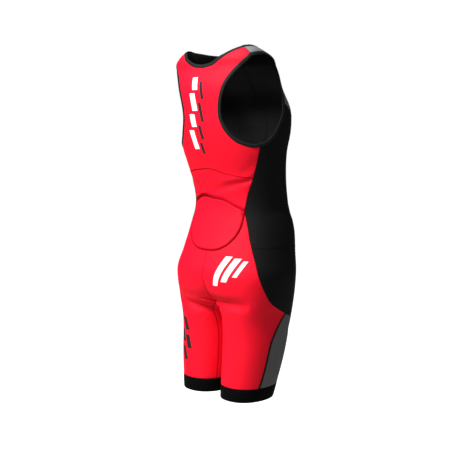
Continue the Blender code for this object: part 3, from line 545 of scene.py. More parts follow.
def edge_distance(points, border):
    """How far each point is from the nearest edge of the border."""
    start, run = points[border[:, 0]], points[border[:, 1]] - points[border[:, 0]]
    square = (run**2).sum(-1)
    nearest = np.full(len(points), 1.0)
    for some in range(0, len(points), BATCH):
        off = points[some:some + BATCH, None] - start
        share = np.clip((off * run).sum(-1) / square, 0.0, 1.0)
        gap = np.linalg.norm(off - share[..., None] * run, axis=-1)
        nearest[some:some + BATCH] = gap.min(1)
    return nearest


def pull_in(points, normals, border):
    """Pull the border in by half the gap at a seam, along the cloth."""
    way = np.zeros_like(points)
    here, there = border.T
    across = unit(np.cross(normals[here] + normals[there], points[there] - points[here]))
    np.add.at(way, here, across)
    np.add.at(way, there, across)
    length = np.linalg.norm(way, axis=1, keepdims=True)
    return points + way / np.maximum(length, 1.0) * SEAM_GAP / 2


def half_wall(patches, side, lift, thickness, crosses_centre):
    """Points, faces, UVs and the number of outer faces of a wall on the left of the figure."""
    places, faces = join_patches(patches)
    central = np.abs(figure_points(places)[:, 0]) < CENTRAL
    flat = places[:, ::-1] * (DEGREE, 1.0)
    if side == "L":
        places = shift_left(places)
    normals = figure_normals(places)
    smooth = figure_points(places)
    if not crosses_centre:
        central[:] = False
    border = border_edges(faces, central)
    edge = np.clip(1.0 - edge_distance(smooth, border) / EDGE_ROUND, 0.0, 1.0)
    rise = cloth_lift(places, side) + lift - EDGE_DROP * edge**2
    outer = pull_in(smooth, normals, border) + normals * rise[:, None]
    depth = thickness - EDGE_THINNING * EDGE_DROP * edge**2
    inner = outer - normals * depth[:, None]
    for skin in (outer, inner):
        skin[central, 0] = 0.0
        if not crosses_centre:
            skin[:, 0] = np.maximum(skin[:, 0], SEAM_GAP / 2)
    back = len(places)
    rim = np.stack([border[:, 1], border[:, 0], back + border[:, 0], back + border[:, 1]], -1)
    return (np.concatenate([outer, inner]), np.concatenate([faces, rim, back + faces[:, ::-1]]),
            np.concatenate([flat, flat]), len(faces) + len(rim))


def mirrored(points):
    return points * np.array([-1.0, 1.0, 1.0])


def add_mesh(name, points, faces, uvs=None, inner=None):
    """A smooth mesh. Faces that are marked as inner take the second material."""
    mesh = bpy.data.meshes.new(name)
    mesh.from_pydata(points.tolist(), [], np.asarray(faces).tolist() if inner is not None
                     else faces)
    if uvs is not None:
        layer = mesh.uv_layers.new(name="UVMap")
        corners = np.empty(len(mesh.loops), dtype=np.int32)
        mesh.loops.foreach_get("vertex_index", corners)
        layer.data.foreach_set("uv", uvs[corners].astype(np.float32).ravel())
    if inner is not None:
        mesh.polygons.foreach_set("material_index", inner.astype(np.int32))
    mesh.shade_smooth()
    made = bpy.data.objects.new(name, mesh)
    bpy.context.scene.collection.objects.link(made)
    return made


def edit_whole(made, operator, **settings):
    """Run a mesh operator on all of a piece."""
    bpy.ops.object.select_all(action="DESELECT")
    bpy.context.view_layer.objects.active = made
    made.select_set(True)
    bpy.ops.object.mode_set(mode="EDIT")
    bpy.ops.mesh.select_all(action="SELECT")
    operator(**settings)
    bpy.ops.object.mode_set(mode="OBJECT")
    made.select_set(False)


def finish_piece(made, *finishes, stands_for=None, slot=None):
    """Give a piece its materials, attach it to the suit, and hide the solid that it stands for.
    """
    for finish in finishes:
        made.data.materials.append(materials[finish])
    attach(made, "suit")
    if stands_for:
        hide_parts(stands_for)
    return made


def add_pair(node, finish, grid):
    """A left panel and a right one, each with its own creases."""
    grid = closer_lines(grid, [START, END], [START, END])
    for side in ("L", "R"):
        points, faces, uvs, outer_count = half_wall([grid], side, 0.0, PANEL_WALL, False)
        if side == "R":
            points, faces, uvs = mirrored(points), faces[:, ::-1], uvs * (-1.0, 1.0)
        made = add_mesh(f"{node}_{side}_cloth", points, faces, uvs,
                        np.arange(len(faces)) >= outer_count)
        finish_piece(made, finish, LINING, stands_for=f"{node}_{side}", slot=finish)


def add_whole(node, patches, finish, lift=0.0, thickness=PANEL_WALL):
    """A panel that crosses the centre back, its halves merged where they meet."""
    left = half_wall(patches, "L", lift, thickness, True)
    right = half_wall(patches, "R", lift, thickness, True)
    centre = np.abs(left[0][:, 0]) < CENTRAL
    left[0][centre] = right[0][centre]
    points = np.concatenate([left[0], mirrored(right[0])])
    faces = np.concatenate([left[1], len(left[0]) + right[1][:, ::-1]])
    uvs = np.concatenate([left[2], right[2] * (-1.0, 1.0)])
    inner = np.arange(len(left[1])) >= left[3]
    made = add_mesh(node + "_cloth", points, faces, uvs, np.concatenate([inner, inner]))
    edit_whole(made, bpy.ops.mesh.remove_doubles, threshold=CENTRAL)
    finish_piece(made, finish, LINING, stands_for=node, slot=finish)


def add_panels():
    add_whole("back_panel", back_places(), RED)
    above, mouth, behind = lumbar_places()
    mouth = closer_lines(mouth, (), [END])
    add_whole("lumbar_panel", [closer_lines(above, [START], [END]), mouth,
                               closer_lines(behind, [END], [END])], RED)
    add_whole("back_pocket", [closer_lines(behind, [START, END], [END])], RED,
              SEAM_GAP + POCKET_WALL, POCKET_WALL)
    add_whole("pocket_mouth_binding", [mouth], "dark_red_binding",
              SEAM_GAP + POCKET_WALL + MOUTH_PROUD, POCKET_WALL + MOUTH_PROUD)
    for node, finish, grid in pair_places():
        add_pair(node, finish, grid)


# ---- Cuffs, bindings and seam lines ---------------------------------------------------

def loft_rings(rings, closed):
    """Points, faces and UVs of a solid swept through rings. It is a hoop when closed."""
    count, size = rings.shape[:2]
    grid = np.arange(count * size).reshape(count, size)
    nexts = np.roll(grid, -1, axis=0) if closed else grid[1:]
    ones = grid if closed else grid[:-1]
    faces = np.stack([ones, np.roll(ones, -1, axis=1), np.roll(nexts, -1, axis=1), nexts],
                     -1).reshape(-1, 4).tolist()
    if not closed:
        faces += [grid[0, ::-1].tolist(), grid[-1].tolist()]
    uvs = np.stack(np.broadcast_arrays(run_length(rings[:, 0])[:, None],
                                       np.linspace(0.0, 1.0, size)[None]), -1).reshape(-1, 2)
    return rings.reshape(-1, 3), faces, uvs


def point_outwards(made):
    edit_whole(made, bpy.ops.mesh.normals_make_consistent, inside=False)


def add_sweep(name, rings, closed, finish, stands_for=None, slot=None):
    made = add_mesh(name, *loft_rings(rings, closed))
    point_outwards(made)
    return finish_piece(made, finish, stands_for=stands_for, slot=slot)


# A cuff's outline: how far down from its top, and how far in from its outer face.
CUFF_OUTLINE = table(
    "down inward",
    (-0.012, 0.34), (0.010, 0.10), (0.05, 0.0), (0.35, -0.08),
    (0.70, -0.06), (0.93, 0.02), (0.98, 0.16), (1.00, 0.45),
    (0.985, 0.80), (0.94, 0.96), (0.50, 1.0), (-0.012, 1.0),
)


def cuff_ring():
    return seam("cuff_back", "cuff_side", "cuff_front", "cuff_inner")[:-1]


def add_cuffs():
    ring = cuff_ring()
    normals = figure_normals(ring)
    tall = CUFF_TOP - SEAM_GAP - HEM_HEIGHT
    outline = []
    for spot in CUFF_OUTLINE:
        height = CUFF_TOP - SEAM_GAP - spot.down * tall
        level = ring + (height - CUFF_TOP, 0.0)
        outline.append(figure_points(level) + normals * (CUFF_PROUD - spot.inward * CUFF_WALL))
    rings = np.stack(outline, axis=1)
    add_sweep("cuff_L_band", rings, True, "black_cuff", "cuff_L", "black_cuff")
    add_sweep("cuff_R_band", mirrored(rings), True, "black_cuff", "cuff_R", "black_cuff")


# A binding's outline: how far across it, and how high above the panel's outer face.
BINDING_OUTLINE = table(
    "across height",
    (0.00, 0.1), (0.05, 0.6), (0.16, 0.95),
    (0.45, 1.0), (0.72, 0.85), (0.90, 0.4),
    (0.985, -0.25), (0.985, -0.7), (0.88, -1.2),
    (0.60, -1.4), (0.00, -1.4),
)


def on_cloth(places, side, closed=False):
    """Points on the cloth, their normals, and the way across a line of them."""
    if side == "L":
        places = shift_left(places)
    normals = figure_normals(places)
    points = figure_points(places) + normals * cloth_lift(places, side)[:, None]
    along = (np.roll(points, -1, axis=0) - np.roll(points, 1, axis=0) if closed
             else np.gradient(points, axis=0))
    return points, normals, unit(np.cross(along, normals))


def binding_rings(places, side, closed):
    """Rings of the binding's outline along a seam line, reaching into the hole."""
    points, normals, across = on_cloth(places, side, closed)
    under = (BINDING_WALL - BINDING_PROUD) / -min(spot.height for spot in BINDING_OUTLINE)
    outline = []
    for spot in BINDING_OUTLINE:
        reach = spot.across * BINDING_WIDTH - BINDING_OVERLAP * (1.0 - spot.across)
        rise = spot.height * (BINDING_PROUD if spot.height > 0 else under)
        outline.append(points + across * reach + normals * rise)
    return np.stack(outline, axis=1)


def armhole_line():
    return chain(seam("arm_back", "arm_low", "arm_under"),
                 seam("arm_strap", "arm_front")[::-1])[:-1]


def neck_line():
    return chain(seam("neck_back"), to_zip("neck_front"))


def add_bindings():
    armhole = armhole_line()
    for side in ("L", "R"):
        rings = binding_rings(armhole, side, True)
        rings = rings if side == "L" else mirrored(rings)
        add_sweep(f"armhole_binding_{side}_tape", rings, True, "black_binding",
                  f"armhole_binding_{side}", "black_binding")
    left, right = (binding_rings(neck_line(), side, False) for side in ("L", "R"))
    left[0, :, 0] = 0.0
    both = np.concatenate([mirrored(right[:0:-1]), left])
    add_sweep("neck_binding_tape", both, False, "black_binding", "neck_binding",
              "black_binding")


OUTLINE_COLUMNS = "across height"
FLAT_SEAM = table(           # in shares of a seam's width and rise, and metres below 0
    OUTLINE_COLUMNS,
    (-0.5, -0.0023), (-0.5, -0.0003), (-0.3, 0.7), (0.0, 1.0), (0.3, 0.7), (0.5, -0.0003),
    (0.5, -0.0023),
)
# The covered seam along the pocket's edge, in metres: across from the seat to the pocket.
POCKET_SEAM = table(
    OUTLINE_COLUMNS,
    (-0.0012, -0.0006), (-0.0012, 0.0006), (-0.0004, 0.0020), (0.0008, 0.0025),
    (0.0028, 0.0026), (0.0044, 0.0024), (0.0051, 0.0016), (0.0048, 0.0006),
)


def pocket_line():
    return seam("pocket_foot", "pocket_side")


def hip_line():
    return chain(seam("hip_side"), to_zip("hip_front"))


def seam_lines():
    """Seams that show, on the left half: width all across, and rise above the panels."""
    crotch = even_steps(crotch_line(POCKET_FOOT, CROTCH_LOW, False), SEAT_SEAM_STEPS)
    front_crotch = even_steps(crotch_line(ZIP_END, CROTCH_LOW, True), FRONT_SEAM_STEPS)
    red, black = "dark_red_seam", "black_seam"
    return table(
        "name places width rise finish",
        ("lumbar_seam", seam("lumbar"), 0.0018, 0.0004, red),
        ("thigh_seam", seam("thigh_back"), 0.0068, 0.0009, black),
        ("seat_seam", crotch, 0.0020, 0.0003, red),
        ("front_crotch_seam", front_crotch, 0.0016, 0.0002, black),
        ("side_seam", seam("side_high", "side_waist"), 0.0012, 0.0001, black),
        ("side_seat_seam", seam("side_hip", "side_seat"), 0.0012, 0.0001, black),
        ("chest_seam", to_zip("chest"), 0.0018, 0.0003, black),
        ("shoulder_seam", seam("shoulder", count=2), 0.0012, 0.0001, black),
        ("front_side_seam", seam("front_side"), 0.0018, 0.0003, black),
        ("front_hip_seam", seam("front_hip_side"), 0.0018, 0.0003, black),
        ("hip_seam", hip_line(), 0.0022, 0.0006, black),
        ("thigh_top_seam", chain(seam("thigh_side", count=1), thigh_front_line()),
         0.0020, 0.0004, black),
        ("inner_leg_front_seam", inseam("front"), 0.0020, 0.0004, black),
        ("inner_leg_back_seam", inseam("back"), 0.0016, 0.0002, red),
    )


def add_strip(name, places, side, outline, finish):
    """A strip along a seam line, with an outline of (metres across, metres up)."""
    points, normals, across = on_cloth(places, side)
    rings = np.stack([points + across * out + normals * up for out, up in outline], axis=1)
    add_sweep(name, rings if side == "L" else mirrored(rings), False, finish)


def add_seam_lines():
    for line in seam_lines():
        outline = [(spot.across * line.width,
                    spot.height * (line.rise if spot.height > 0 else 1.0)) for spot in FLAT_SEAM]
        for side in ("L", "R"):
            add_strip(f"{line.name}_{side}", line.places, side, outline, line.finish)
    tack = even_steps(np.array(TACK), 1)
    for side in ("L", "R"):
        add_strip(f"pocket_seam_{side}", pocket_line(), side, POCKET_SEAM, "pocket_seam_red")
        add_strip(f"pocket_tack_{side}", tack, side, TACK_OUTLINE, "dark_red_seam")


# The tack that holds the pocket's mouth, below its end.
TACK = ((-0.4185, 35.4), (-0.4305, 35.3))
TACK_OUTLINE = table(
    OUTLINE_COLUMNS,
    (-0.0010, 0.0015), (-0.0009, 0.0023), (0.0, 0.0026), (0.0009, 0.0023), (0.0010, 0.0015),
)


# ---- Stitches ------------------------------------------------------------------------

STITCH = (0.0022, 0.00055, 0.0004)    # length, width and thickness of a stitch of thread
STITCH_TIP = 0.45                     # its ends dip from here on, as a share of its length
STITCH_DIP = 0.5                      # and by this share of its thickness
AHEAD = 0.0005                        # how far ahead the way of a line is taken


def take_shape(made):
    """The points and faces of a modelled shape, which is then removed."""
    points = np.array([vertex.co for vertex in made.data.vertices])
    faces = [tuple(face.vertices) for face in made.data.polygons]
    bpy.data.objects.remove(made)
    return points, faces


def model_stitch():
    """One stitch, lying along X with its ends dipped."""
    bpy.ops.object.select_all(action="DESELECT")
    bpy.ops.mesh.primitive_uv_sphere_add(segments=6, ring_count=4, radius=0.5,
                                         rotation=(0.0, math.radians(90.0), 0.0))
    stitch = bpy.context.object
    stitch.scale = STITCH[::-1]
    bpy.ops.object.transform_apply(location=False, rotation=True, scale=True)
    for vertex in stitch.data.vertices:
        vertex.select = abs(vertex.co.x) > STITCH_TIP * STITCH[0]
    bpy.ops.object.mode_set(mode="EDIT")
    bpy.ops.transform.translate(value=(0.0, 0.0, -STITCH_DIP * STITCH[2]))
    bpy.ops.object.mode_set(mode="OBJECT")
    return take_shape(stitch)


def copy_along(shape, centres, ways, ups):
    """Copies of a shape at the centres, its X along the ways and its Z along the ups."""
    points, faces = shape
    sides = np.cross(ups, ways)
    frames = np.stack([ways, sides, ups], axis=1)
    placed = np.einsum("pk,nkc->npc", points, frames) + centres[:, None]
    copied = [tuple(corner + number * len(points) for corner in face)
              for number in range(len(centres)) for face in faces]
    return placed.reshape(-1, 3), copied


def add_stitches(shape, row, side):
    """A row of stitches beside a seam line and above the cloth."""
    points, normals, across = on_cloth(row.places, side)
    line = points + across * row.aside + normals * row.height
    if row.loop:
        line, normals = (np.concatenate([some, some[:1]]) for some in (line, normals))
    length = run_length(line)
    count = int(length[-1] / row.pitch)
    marks = (np.arange(count) + 0.5) * length[-1] / count
    centres = values_at(marks, length, line)
    ways = unit(values_at(marks + AHEAD, length, line) - centres)
    ups = values_at(marks, length, normals)
    ups = unit(ups - (ups * ways).sum(-1, keepdims=True) * ways)
    placed, faces = copy_along(shape, centres, ways, ups)
    made = add_mesh(f"{row.name}_{side}", placed if side == "L" else mirrored(placed), faces)
    point_outwards(made)
    finish_piece(made, row.finish)


def add_all_stitches():
    armhole, neck, cuff, thigh = armhole_line(), neck_line(), cuff_ring(), seam("thigh_back")
    on_binding, on_pocket = BINDING_PROUD, SEAM_GAP + POCKET_WALL + MOUTH_PROUD
    black, dark, red = "black_thread", "dark_thread", "red_thread"
    rows = table(
        "name places aside height pitch finish loop",
        ("armhole_stitches", armhole, 0.0026, on_binding, 0.0034, black, True),
        ("neck_stitches", neck, 0.0026, on_binding, 0.0034, black, False),
        ("cuff_stitches", cuff + (0.0045, 0.0), 0.0, 0.0001, 0.0034, dark, True),
        ("cuff_band_stitches", cuff - (0.0035, 0.0), 0.0, CUFF_PROUD + 0.0001, 0.0034, black,
         True),
        ("pocket_stitches", pocket_line(), 0.0008, 0.0025, 0.0030, red, False),
        ("pocket_stitches_inner", pocket_line(), 0.0036, 0.0025, 0.0030, red, False),
        ("mouth_stitches", seam("mouth_low"), 0.0016, on_pocket, 0.0030, red, False),
        ("mouth_top_stitches", seam("mouth_top"), -0.0016, on_pocket, 0.0030, red, False),
        ("thigh_stitches", thigh, -0.0018, 0.0008, 0.0030, black, False),
        ("thigh_stitches_outer", thigh, 0.0018, 0.0008, 0.0030, black, False),
        ("hip_stitches", hip_line(), 0.0030, 0.0001, 0.0032, black, False),
        ("chest_stitches", to_zip("chest"), 0.0030, 0.0001, 0.0032, black, False),
    )
    stitch = model_stitch()
    for row in rows:
        for side in ("L", "R"):
            add_stitches(stitch, row, side)


# ---- Zip -----------------------------------------------------------------------------

# The tape's outline: how far out from the centre front, and how high above its middle.
TAPE_OUTLINE = table(
    OUTLINE_COLUMNS,
    (0.0, 0.0), (0.0030, 0.0), (0.0034, -0.0001), (0.0060, 0.0), (0.0084, 0.0),
    (0.0090, -0.0004), (0.0106, -0.0006),
)
TOOTH = (0.0034, 0.0013, 0.0016)      # size across, along and outward
TOOTH_PITCH = 0.0026
TOOTH_ASIDE = 0.0009                  # the middle of a tooth, from the centre front
TOOTH_BEVEL = 0.00035
TOOTH_OUT = 0.45                      # share of a tooth's height that its middle stands out
TEETH_FROM, TEETH_END = 0.001, 0.002  # clear of the slider and of the zip's lower end


def front_strip(heights, outline, lift):
    """Rows of points down the centre front, out to the left, flat under the slider."""
    columns = [np.stack([heights, turn_at(heights, spot.across, True)], axis=-1)
               for spot in outline]
    places = np.stack(columns, axis=1)
    normals = figure_normals(places)
    normals[:, 0, 0] = 0.0
    high = cloth_lift(places, "L")[..., None] + lift
    high = high + np.array([spot.height for spot in outline])[None, :, None]
    points = figure_points(places) + normals * high
    length = run_length(points[:, 0])
    flat = (length >= SLIDER_FROM) & (length <= SLIDER_END)
    first, last = np.flatnonzero(flat)[[0, -1]]
    share = ((length[flat] - length[first]) / (length[last] - length[first]))[:, None, None]
    points[flat] = points[first] * (1 - share) + points[last] * share
    return points, length


def model_tooth():
    """One tooth, across X with a rounded head, its length along Y."""
    bpy.ops.object.select_all(action="DESELECT")
    bpy.ops.mesh.primitive_cube_add(size=1.0)
    tooth = bpy.context.object
    tooth.scale = TOOTH
    bpy.ops.object.transform_apply(location=False, rotation=False, scale=True)
    edit_whole(tooth, bpy.ops.mesh.bevel, offset=TOOTH_BEVEL, segments=1)
    return take_shape(tooth)


def add_zip():
    top = to_zip("neck_front")[-1, 0] - SEAM_GAP
    heights = centre_line(top, ZIP_END + SEAM_GAP, ZIP_STEPS, front=True)[:, 0]
    skins = []
    for lift in (-TAPE_SUNK, -TAPE_SUNK - TAPE_WALL):
        half, length = front_strip(heights, TAPE_OUTLINE, lift)
        half[:, 0, 0] = 0.0
        skins.append(np.concatenate([mirrored(half[:, :0:-1]), half], axis=1))
    add_sweep("zip_woven_tape", np.concatenate([skins[0], skins[1][:, ::-1]], axis=1), False,
              "zip_tape", "zip_tape", "zip_tape")
    middle = skins[0][:, len(TAPE_OUTLINE) - 1]
    marks = np.arange(SLIDER_END + TEETH_FROM, length[-1] - TEETH_END, TOOTH_PITCH)
    tooth = model_tooth()
    placed, faces = [], []
    for sign, start in ((1.0, 0.0), (-1.0, TOOTH_PITCH / 2)):
        spots = values_at(marks + start, length, middle)
        down = unit(values_at(marks + start + AHEAD, length, middle) - spots)
        ways = np.tile([1.0, 0.0, 0.0], (len(spots), 1))
        inward = np.cross(ways, down)
        spots = spots - inward * TOOTH[2] * TOOTH_OUT + ways * sign * TOOTH_ASIDE
        points, copied = copy_along(tooth, spots, ways, -inward)
        faces += [tuple(corner + sum(map(len, placed)) for corner in face) for face in copied]
        placed.append(points)
    teeth = add_mesh("zip_teeth", np.concatenate(placed), faces)
    teeth.data.shade_flat()
    point_outwards(teeth)
    finish_piece(teeth, "zip_chain", stands_for="zip_chain", slot="zip_chain")
    for node in ("zip_slider", "zip_pull"):
        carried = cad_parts[node].data
        carried.materials.clear()
        carried.materials.append(materials["zip_metal"])


# ---- Cuts of the cloth ---------------------------------------------------------------

# The rectangle that each piece is cut from, in metres, and its own area.
Cut = namedtuple("Cut", "width length area")


# ---- Materials -----------------------------------------------------------------------

materials = {}
RED_DYE = (0.90, 0.0003, 0.018)
WHITE_PRINT = (0.86, 0.86, 0.86, 1.0)
BLACK_PRINT = (0.010, 0.014, 0.014, 1.0)
PAINTED_SHADE_FROM, PAINTED_SHADE_TO = -0.050, 0.040     # x between which painted shade darkens the red binding and seams towards the wearer's left


class Nodes:
    """Short calls for the nodes of one group or material."""

    def __init__(self, tree):
        self.tree = tree

    def add(self, kind, **settings):
        node = self.tree.nodes.new(kind)
        for name, value in settings.items():
            setattr(node, name, value)
        return node

    def join(self, source, target):
        """Link an output, or set a plain value, on an input."""
        if isinstance(source, bpy.types.NodeSocket):
            self.tree.links.new(source, target)
        else:
            target.default_value = source

    def math(self, operation, *values, clamp=False):
        node = self.add("ShaderNodeMath", operation=operation, use_clamp=clamp)
        for value, target in zip(values, node.inputs):
            self.join(value, target)
        return node.outputs[0]

    def mix(self, factor, one, other, blend="MIX"):
        node = self.add("ShaderNodeMix", data_type="RGBA", blend_type=blend)
        for value, name in ((factor, "Factor_Float"), (one, "A_Color"), (other, "B_Color")):
            self.join(value, next(spot for spot in node.inputs if spot.identifier == name))
        return next(spot for spot in node.outputs if spot.identifier == "Result_Color")

    def split(self, vector):
        node = self.add("ShaderNodeSeparateXYZ")
        self.join(vector, node.inputs[0])
        return node.outputs

    def shaded(self, colour, shade):
        """A colour times a grey shade."""
        grey = self.add("ShaderNodeCombineXYZ")
        for spot in grey.inputs:
            self.join(shade, spot)
        return self.mix(1.0, colour, grey.outputs[0], "MULTIPLY")

    def noise(self, vector, scale, detail=2.0):
        node = self.add("ShaderNodeTexNoise")
        node.inputs["Scale"].default_value = scale
        node.inputs["Detail"].default_value = detail
        self.join(vector, node.inputs["Vector"])
        return node.outputs["Fac"]


def new_group(name, outputs, **inputs):
    """A node group with the given sockets, its Nodes and its two ends."""
    group = bpy.data.node_groups.new(name, "ShaderNodeTree")
    for label, kind in inputs.items():
        group.interface.new_socket(label.replace("_", " "), in_out="INPUT",
                                   socket_type="NodeSocket" + kind)
    for label, kind in outputs.items():
        group.interface.new_socket(label, in_out="OUTPUT", socket_type="NodeSocket" + kind)
    nodes = Nodes(group)
    return group, nodes, nodes.add("NodeGroupInput").outputs, nodes.add("NodeGroupOutput").inputs


FACE = {"Colour": "Color", "Height": "Float", "Roughness": "Float"}
FULL_TURN = 6.2832
BAR_EDGE = 2500.0            # how sharply a bar's mask falls off, for each metre


def knit_face_group():
    """Fine jersey: columns of V-shaped loops, with a soft mottling of the dye and the foam."""
    group, nodes, given, out = new_group(
        "knit_face", Place="Vector", Space="Vector", Colour="Color", Column_Width="Float",
        Mottling="Float", outputs=FACE)
    calc = nodes.math
    across, up, _ = nodes.split(given["Place"])
    column = calc("DIVIDE", across, given["Column Width"])
    share = calc("ABSOLUTE", calc("SUBTRACT", calc("FRACT", column), 0.5))
    row = calc("DIVIDE", up, calc("MULTIPLY", given["Column Width"], 0.8))
    slanted = calc("ADD", row, calc("MULTIPLY", share, 1.6))
    loops = calc("MULTIPLY_ADD", calc("SINE", calc("MULTIPLY", slanted, FULL_TURN)), 0.5, 0.5)
    rounded = calc("SINE", calc("MULTIPLY", calc("FRACT", column), FULL_TURN / 2))
    fine = calc("MULTIPLY", loops, rounded)
    foam = nodes.noise(given["Space"], 160.0)
    nodes.join(calc("MULTIPLY_ADD", foam, 0.8, fine), out["Height"])
    broad = nodes.noise(given["Space"], 14.0, 3.0)
    shade = calc("MULTIPLY", calc("SUBTRACT", broad, 0.5), given["Mottling"])
    shade = calc("ADD", calc("ADD", shade, 0.94), calc("MULTIPLY", fine, 0.12))
    nodes.join(nodes.shaded(given["Colour"], shade), out["Colour"])
    nodes.join(calc("MULTIPLY_ADD", foam, 0.16, 0.56), out["Roughness"])
    return group


def ribbed_tape_group():
    """Woven or knitted tape: ribs along it, crossed by fine yarns."""
    group, nodes, given, out = new_group(
        "ribbed_tape", Place="Vector", Space="Vector", Colour="Color", Ribs="Float",
        Yarn="Float", outputs=FACE)
    calc = nodes.math
    along, across, _ = nodes.split(given["Place"])
    ribs = calc("SINE", calc("MULTIPLY", calc("MULTIPLY", across, given["Ribs"]), FULL_TURN))
    turned = calc("ADD", calc("DIVIDE", along, given["Yarn"]), calc("MULTIPLY", ribs, 0.25))
    yarns = calc("SINE", calc("MULTIPLY", turned, FULL_TURN))
    woven = calc("ADD", calc("MULTIPLY", ribs, 0.3), calc("MULTIPLY", yarns, 0.3))
    nodes.join(calc("ADD", woven, 0.5), out["Height"])
    worn = nodes.noise(given["Space"], 30.0, 3.0)
    shade = calc("ADD", calc("MULTIPLY", worn, 0.30), calc("MULTIPLY_ADD", woven, 0.22, 0.84))
    nodes.join(nodes.shaded(given["Colour"], shade), out["Colour"])
    nodes.join(calc("MULTIPLY_ADD", worn, 0.2, 0.5), out["Roughness"])
    return group


def bar_group():
    """A mask for one plain slanted bar on the cloth, 1 inside it."""
    group, nodes, given, out = new_group(
        "bar", Place="Vector", Across="Float", Up="Float", Half_Wide="Float",
        Half_Tall="Float", Slant="Float", outputs={"Mask": "Float"})
    calc = nodes.math
    across, up, _ = nodes.split(given["Place"])
    off_up = calc("SUBTRACT", up, given["Up"])
    off_across = calc("SUBTRACT", calc("SUBTRACT", across, given["Across"]),
                      calc("MULTIPLY", off_up, given["Slant"]))
    inside = []
    for off, half in ((off_across, "Half Wide"), (off_up, "Half Tall")):
        left = calc("SUBTRACT", given[half], calc("ABSOLUTE", off))
        inside.append(calc("MULTIPLY", left, BAR_EDGE, clamp=True))
    nodes.join(calc("MULTIPLY", *inside), out["Mask"])
    return group


# Plain bars printed on the red panels. across is from the centre back to the wearer's left.
BAR_COLUMNS = "across up half_wide half_tall slant"
WHITE_BACK_BARS = table(
    BAR_COLUMNS,
    (0.013, -0.100, 0.0085, 0.016, 0.16), (0.016, -0.146, 0.0085, 0.022, 0.16),
    (0.021, -0.192, 0.0085, 0.016, 0.16), (0.026, -0.240, 0.0085, 0.024, 0.16),
)
BLACK_BACK_BARS = table(
    BAR_COLUMNS,
    (-0.010, -0.118, 0.0045, 0.022, 0.16), (-0.006, -0.172, 0.0045, 0.024, 0.16),
    (-0.001, -0.222, 0.0045, 0.018, 0.16), (0.003, -0.262, 0.0045, 0.014, 0.16),
)
WHITE_SEAT_BARS = table(
    BAR_COLUMNS,
    (-0.034, -0.570, 0.0085, 0.038, -0.75), (-0.062, -0.566, 0.0085, 0.030, -0.75),
    (-0.088, -0.562, 0.0060, 0.020, -0.75),
)
BLACK_THIGH_BARS = table(
    BAR_COLUMNS,
    (0.030, -0.728, 0.0165, 0.018, 0.6), (0.058, -0.760, 0.0165, 0.018, 0.6),
    (0.010, -0.776, 0.0165, 0.018, 0.6), (0.040, -0.808, 0.0165, 0.018, 0.6),
)


class Finish:
    """A material in the making, with its shader, its pieces' places and its node calls."""

    def __init__(self, name, metallic=0.0, specular=0.5, sheen=0.0):
        made = bpy.data.materials.new(name)
        made.use_nodes = True
        self.nodes = Nodes(made.node_tree)
        self.shader = made.node_tree.nodes["Principled BSDF"]
        for socket, value in (("Metallic", metallic), ("Specular IOR Level", specular),
                              ("Sheen Weight", sheen), ("Sheen Roughness", 0.35)):
            self.shader.inputs[socket].default_value = value
        texture = self.nodes.add("ShaderNodeTexCoord")
        self.place, self.space = texture.outputs["UV"], texture.outputs["Object"]
        materials[name] = made

    def group(self, group, **values):
        node = self.nodes.add("ShaderNodeGroup", node_tree=group)
        for label, value in values.items():
            self.nodes.join(value, node.inputs[label.replace("_", " ")])
        return node.outputs

    def set(self, **sources):
        for label, source in sources.items():
            self.nodes.join(source, self.shader.inputs[label.replace("_", " ")])

    def bump(self, height, distance, strength):
        bump = self.nodes.add("ShaderNodeBump")
        bump.inputs["Strength"].default_value = strength
        bump.inputs["Distance"].default_value = distance
        self.nodes.join(height, bump.inputs["Height"])
        self.nodes.join(bump.outputs["Normal"], self.shader.inputs["Normal"])


def bars_mask(finish, group, bars):
    mask = 0.0
    for bar in bars:
        one = finish.group(group, Place=finish.place, Across=bar.across, Up=bar.up,
                           Half_Wide=bar.half_wide, Half_Tall=bar.half_tall, Slant=bar.slant)
        mask = finish.nodes.math("MAXIMUM", mask, one["Mask"])
    return mask


def add_cloth(name, group, colour, depth, strength, specular, sheen, **values):
    """A cloth whose face comes from a group, and the group's outputs."""
    finish = Finish(name, specular=specular, sheen=sheen)
    face = finish.group(group, Place=finish.place, Space=finish.space, Colour=(*colour, 1.0),
                        **values)
    finish.set(Base_Color=face["Colour"], Roughness=face["Roughness"])
    finish.bump(face["Height"], depth, strength)
    return finish, face


def add_knit(name, knit, colour, specular, sheen, mottling=0.12, column=0.0009,
             depth=0.00018):
    """Neoprene with a knit face."""
    return add_cloth(name, knit, colour, depth, 0.6, specular, sheen, Column_Width=column,
                     Mottling=mottling)


def add_tape(name, tape, colour, ribs, yarn, specular, sheen=0.0):
    """Binding, band or tape with ribs."""
    return add_cloth(name, tape, colour, 0.0003, 0.7, specular, sheen, Ribs=ribs, Yarn=yarn)


def add_printed_red(knit):
    """The red knit face with its plain printed bars."""
    finish, face = add_knit(RED, knit, RED_DYE, 0.17, 0.0)
    nodes, bar = finish.nodes, bar_group()
    x = nodes.split(finish.space)[0]
    on_left = nodes.math("GREATER_THAN", x, 0.0)
    on_right = nodes.math("LESS_THAN", x, 0.0)
    white = nodes.math("MAXIMUM", bars_mask(finish, bar, WHITE_BACK_BARS),
                       nodes.math("MULTIPLY", bars_mask(finish, bar, WHITE_SEAT_BARS), on_right))
    black = nodes.math("MAXIMUM", bars_mask(finish, bar, BLACK_BACK_BARS),
                       nodes.math("MULTIPLY", bars_mask(finish, bar, BLACK_THIGH_BARS), on_left))
    colour = nodes.mix(white, face["Colour"], WHITE_PRINT)
    finish.set(Base_Color=nodes.mix(black, colour, BLACK_PRINT))


